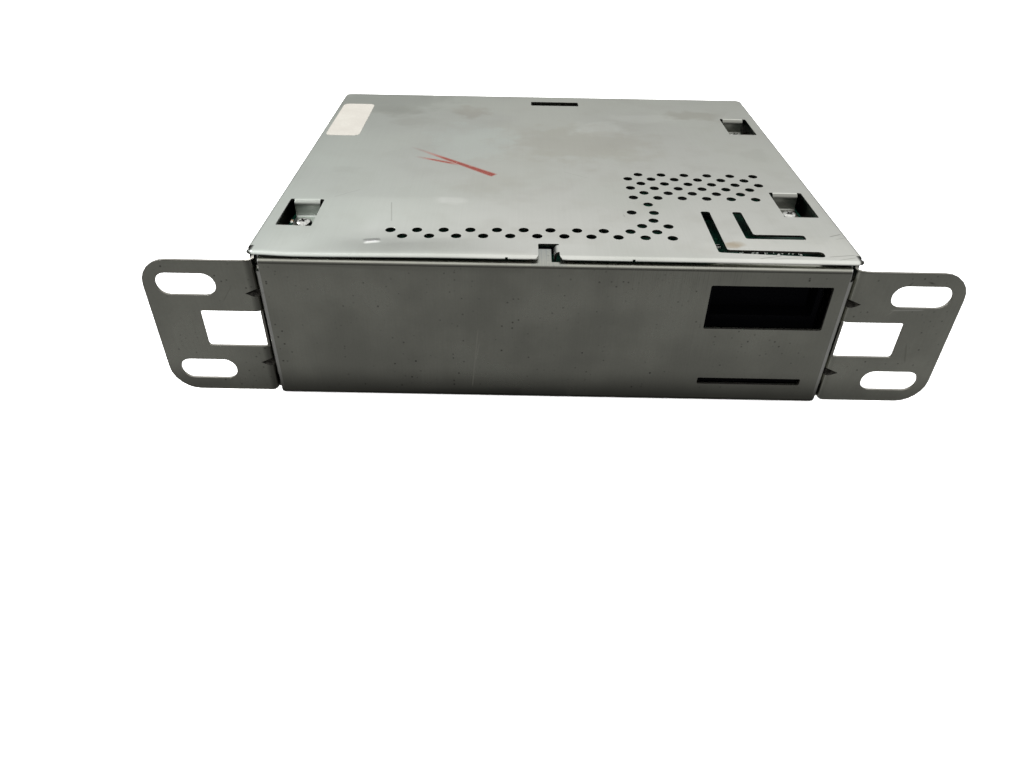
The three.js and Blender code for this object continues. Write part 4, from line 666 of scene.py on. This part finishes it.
def paper_label():
    """The bare label near the lid's back left corner: a rounded sheet of paper, pasted down."""
    left, right, front, back = -87.7, -74.4, 100.2, 141.3
    underside, thickness, corner = LID_TOP - 0.055, 0.045, 2.4
    bpy.ops.mesh.primitive_plane_add(size=1, location=(0, 0, 0))
    label = bpy.context.object
    label.name = label.data.name = "bare_label"
    label.data.transform(Matrix.Translation(at((left + right) / 2, (front + back) / 2, underside))
                         @ Matrix.Diagonal(((right - left) * MM, (back - front) * MM, 1, 1)))
    bpy.ops.object.mode_set(mode="EDIT")
    bpy.ops.mesh.select_all(action="SELECT")
    bpy.ops.mesh.bevel(offset=corner * MM, segments=6, affect="VERTICES")
    bpy.ops.mesh.extrude_region_move(TRANSFORM_OT_translate={"value": (0, 0, thickness * MM)})
    bpy.ops.mesh.select_all(action="SELECT")
    bpy.ops.mesh.normals_make_consistent(inside=False)
    bpy.ops.object.mode_set(mode="OBJECT")
    label.data.materials.append(LABEL_PAPER)
    mount_piece(label, "pale_insulator")


paper_label()


def chip_part(name, x, y, size, body, along_y=False):
    """A surface-mounted part on the main board: a body, a tinned cap at each end and solder under them."""
    length, width, height = size
    body_share, cap_share, caps_from = 0.6, 0.2, 0.31
    piece = cubed(name, Vector((0, 0, height / 2 * MM)), (length * body_share, width, height))
    piece.data.materials.append(body)
    piece.data.materials.append(SOLDER)
    pick_faces(piece, lambda face: abs(face.normal.x) > 0.9)
    bpy.ops.mesh.extrude_faces_move(TRANSFORM_OT_shrink_fatten={"value": length * cap_share * MM})
    bpy.ops.object.mode_set(mode="OBJECT")
    for face in piece.data.polygons:
        face.material_index = int(abs(face.center.x) > length * caps_from * MM)
    finish_modifier(piece, "BEVEL", width=0.12 * MM, segments=2)
    activate(piece)
    bpy.ops.object.shade_smooth_by_angle(angle=math.radians(35))
    turn = Matrix.Rotation(math.pi / 2 if along_y else 0, 4, "Z")
    piece.data.transform(Matrix.Translation(at(x, y, BOARD_TOP + 0.02)) @ turn)
    mount_piece(piece, "chip")


# The small parts that the slots and the left tongue's opening show: where each one's middle is, its length, width
# and height, its body, and whether it stands along the depth.
CHIP_PARTS = [
    (60.5, 17.7, (4.4, 1.8, 1.1), EPOXY, False), (64.8, 17.4, (3.2, 1.6, 0.9), EPOXY, False),
    (68.0, 18.2, (2.4, 1.4, 0.8), EPOXY, False), (70.2, 16.9, (1.7, 0.9, 0.6), EPOXY, True),
    (72.6, 17.9, (2.6, 1.5, 0.8), EPOXY, False), (75.8, 17.8, (2.4, 1.4, 0.7), EPOXY, False),
    (77.2, 17.2, (1.7, 0.9, 0.5), EPOXY, True), (52.4, 21.2, (2.0, 1.2, 0.7), EPOXY, True),
    (-85.3, 33.9, (1.3, 0.8, 0.7), CERAMIC, True), (53.2, 46.4, (1.7, 0.9, 0.6), EPOXY, True),
]
for index, (x, y, size, body, along_y) in enumerate(CHIP_PARTS):
    chip_part(f"chip_part_{index + 1}", x, y, size, body, along_y)


def notch_header():
    """The black header on the board behind the front notch, with a thin metal strip along its front."""
    middle, height, rim, well = -2, 4.4, 1.2, 2.4
    body = cubed("notch_header", at(middle, 19.5, BOARD_TOP + height / 2), (12, 9, height))
    body.data.materials.append(BLACK_PBT)
    pick_faces(body, lambda face: face.normal.z > 0.9)
    bpy.ops.mesh.inset(thickness=rim * MM)
    bpy.ops.mesh.extrude_region_move(TRANSFORM_OT_translate={"value": (0, 0, -well * MM)})
    bpy.ops.object.mode_set(mode="OBJECT")
    finish_modifier(body, "BEVEL", width=0.15 * MM, segments=2)
    mount_piece(body, "black_moulding")
    strip = cubed("notch_header_strip", at(middle, 14.9, 47.75), (10.6, 0.3, 0.22))
    strip.data.materials.append(TINPLATE)
    pick_faces(strip, lambda face: abs(face.normal.x) > 0.9)
    bpy.ops.mesh.extrude_faces_move(TRANSFORM_OT_shrink_fatten={"value": 0.4 * MM})
    bpy.ops.transform.resize(value=(1, 0.5, 0.5))
    bpy.ops.object.mode_set(mode="OBJECT")
    mount_piece(strip, "tinned_steel")


notch_header()


def contact_blades():
    """The flat contacts of the main connector: four in each of its four chambers."""
    width, length, thickness, pitch, back = 2.5, 10, 0.8, 5.08, 148.2
    blade = cubed("contact_blade", Vector((0, length / 2 * MM, 0)), (width, length, thickness))
    pick_faces(blade, lambda face: face.normal.y > 0.9)
    bpy.ops.mesh.extrude_faces_move(TRANSFORM_OT_shrink_fatten={"value": 1.0 * MM})
    bpy.ops.transform.resize(value=(0.6, 1, 0.4))
    bpy.ops.object.mode_set(mode="OBJECT")
    finish_modifier(blade, "BEVEL", width=0.08 * MM, segments=1)
    blade.data.materials.append(TINPLATE)
    middles = [(x, z) for x in (0.8, 24.8) for z in (24.7, 36.9)]
    places = [(x + step * pitch, z) for x, z in middles for step in (-1.5, -0.5, 0.5, 1.5)]
    for index, (x, z) in enumerate(places):
        copy = bpy.data.objects.new(f"contact_blade_{index + 1}", blade.data.copy())
        copy.data.transform(Matrix.Translation(at(x, back, z)))
        bpy.context.scene.collection.objects.link(copy)
        mount_piece(copy, "tinned_steel")
    bpy.data.objects.remove(blade)


contact_blades()

# Stage: a plain pale floor. Metal doesn't see it, so the room's light alone decides what the steel reflects.
bpy.ops.mesh.primitive_plane_add(size=12, location=(0, 0, -0.05 * MM))
floor = bpy.context.object
floor.name = "pale_floor"
paper, _, shader, _ = blank("white_paper_floor", metallic=0.0, roughness=0.9)
shader.inputs["Base Color"].default_value = shade("#f6f6f6")
shader.inputs["Emission Color"].default_value = (1, 1, 1, 1)
shader.inputs["Emission Strength"].default_value = 0.55
floor.data.materials.append(paper)
floor.visible_glossy = False

# The room's light by height: pale walls and ceiling all round, and a dark room below on the front's side.
WARMTH = 0.98  # blue's share of a grey
FRONT_BEGINS, FRONT_WHOLE = -0.45, -0.85  # where a level direction points that far along Y
ROOM_LIGHT = [(-1.0, 0.20), (-0.6, 0.40), (-0.3, 0.46), (0.0, 0.30), (0.1, 0.22), (0.2, 0.22), (0.27, 0.29),
              (0.36, 0.50), (0.46, 0.84), (0.6, 0.98), (1.0, 0.98)]
FRONT_LIGHT = [(-1.0, 0.02), (-0.68, 0.03), (-0.62, 0.10), (-0.57, 0.28), (-0.5, 0.29), (-0.42, 0.21),
               (-0.3, 0.08), (-0.08, 0.05), (0.04, 0.25), (0.2, 0.34), (0.36, 0.50), (0.46, 0.84), (0.6, 0.98),
               (1.0, 0.98)]


def light_by_height(tree, height, levels):
    """A grey for each height of the direction that the light comes from, -1 below and 1 above."""
    ramp = add(tree, "ShaderNodeValToRGB", {"Fac": height}, out=None)
    elements = ramp.color_ramp.elements
    elements.remove(elements[1])
    for index, (level, value) in enumerate(levels):
        element = elements[0] if index == 0 else elements.new((level + 1) / 2)
        element.position = (level + 1) / 2
        element.color = (value, value, value * WARMTH, 1)
    return ramp.outputs["Color"]


world = bpy.data.worlds.new("soft_room")
bpy.context.scene.world = world
world.use_nodes = True
tree = world.node_tree
tree.nodes.clear()
toward = add(tree, "ShaderNodeTexCoord", out="Generated")
parts = add(tree, "ShaderNodeSeparateXYZ", {"Vector": toward}, out=None)
height = add(tree, "ShaderNodeMapRange", {"Value": parts.outputs["Z"], "From Min": -1.0})
level_way = add(tree, "ShaderNodeVectorMath", {0: toward, 1: (1, 1, 0)}, operation="MULTIPLY")
reach = add(tree, "ShaderNodeVectorMath", {0: level_way}, out="Value", operation="LENGTH")
frontward = add(tree, "ShaderNodeMath", {0: parts.outputs["Y"], 1: reach}, operation="DIVIDE")
front_share = add(tree, "ShaderNodeMapRange", {
    "Value": frontward, "From Min": FRONT_BEGINS, "From Max": FRONT_WHOLE,
}, interpolation_type="SMOOTHSTEP")
room_glow = light_by_height(tree, height, ROOM_LIGHT)
front_glow = light_by_height(tree, height, FRONT_LIGHT)
glow = add(tree, "ShaderNodeMix", {0: front_share, 6: room_glow, 7: front_glow}, out=2, data_type="RGBA")
backdrop = add(tree, "ShaderNodeBackground", {"Color": glow, "Strength": 1.0})
add(tree, "ShaderNodeOutputWorld", {"Surface": backdrop}, out=None)

# A broad lamp lights the floor and what isn't metal, a front lamp shines in through the slots and windows, and
# a side lamp glints on the screws. Each has its width in metres, its power in watts, its place in metres and
# whether metal mirrors it.
LAMPS = {"broad_lamp": (1.2, 13, (0.1, 0.15, 1.1), False), "front_lamp": (0.06, 1.7, (0.03, -0.57, 0.30), False),
         "side_lamp": (0.2, 3.0, (-0.6, 0.05, 0.55), True)}
for name, (size, energy, location, glossy) in LAMPS.items():
    bpy.ops.object.light_add(type="AREA", location=location)
    lamp = bpy.context.object
    lamp.name = name
    lamp.data.size = size
    lamp.data.energy = energy
    lamp.visible_glossy = glossy
    lamp.rotation_euler = (-Vector(location)).to_track_quat("-Z", "Y").to_euler()

# The photo's view, fitted to the case's edges and corners: the camera's place in mm, how far it looks down, looks
# aside and is rolled in degrees, and its focal length and its picture's width in pixels.
VIEW_PLACE, VIEW_TURN = (-11.792, -191.823, 150.896), (37.146, -0.025, 1.043)
FOCAL_LENGTH, PICTURE_WIDTH, SENSOR_WIDTH = 739.342, 1024, 36
pitch, yaw, roll = (math.radians(angle) for angle in VIEW_TURN)
ahead = Vector((math.sin(yaw) * math.cos(pitch), math.cos(yaw) * math.cos(pitch), -math.sin(pitch)))
right = Vector((math.cos(yaw), -math.sin(yaw), 0))
up = right.cross(ahead)
across = math.cos(roll) * right + math.sin(roll) * up
upward = math.cos(roll) * up - math.sin(roll) * right
lens = bpy.data.cameras.new("view")
lens.sensor_width = SENSOR_WIDTH
lens.lens = SENSOR_WIDTH * FOCAL_LENGTH / PICTURE_WIDTH
lens.clip_start = 0.01
camera = bpy.data.objects.new("view", lens)
bpy.context.scene.collection.objects.link(camera)
camera.matrix_world = Matrix.Translation(at(*VIEW_PLACE)) @ Matrix(
    (across, upward, -ahead)).transposed().to_4x4()
bpy.context.scene.camera = camera
bpy.context.scene.view_settings.view_transform = "Standard"

bpy.context.view_layer.update()
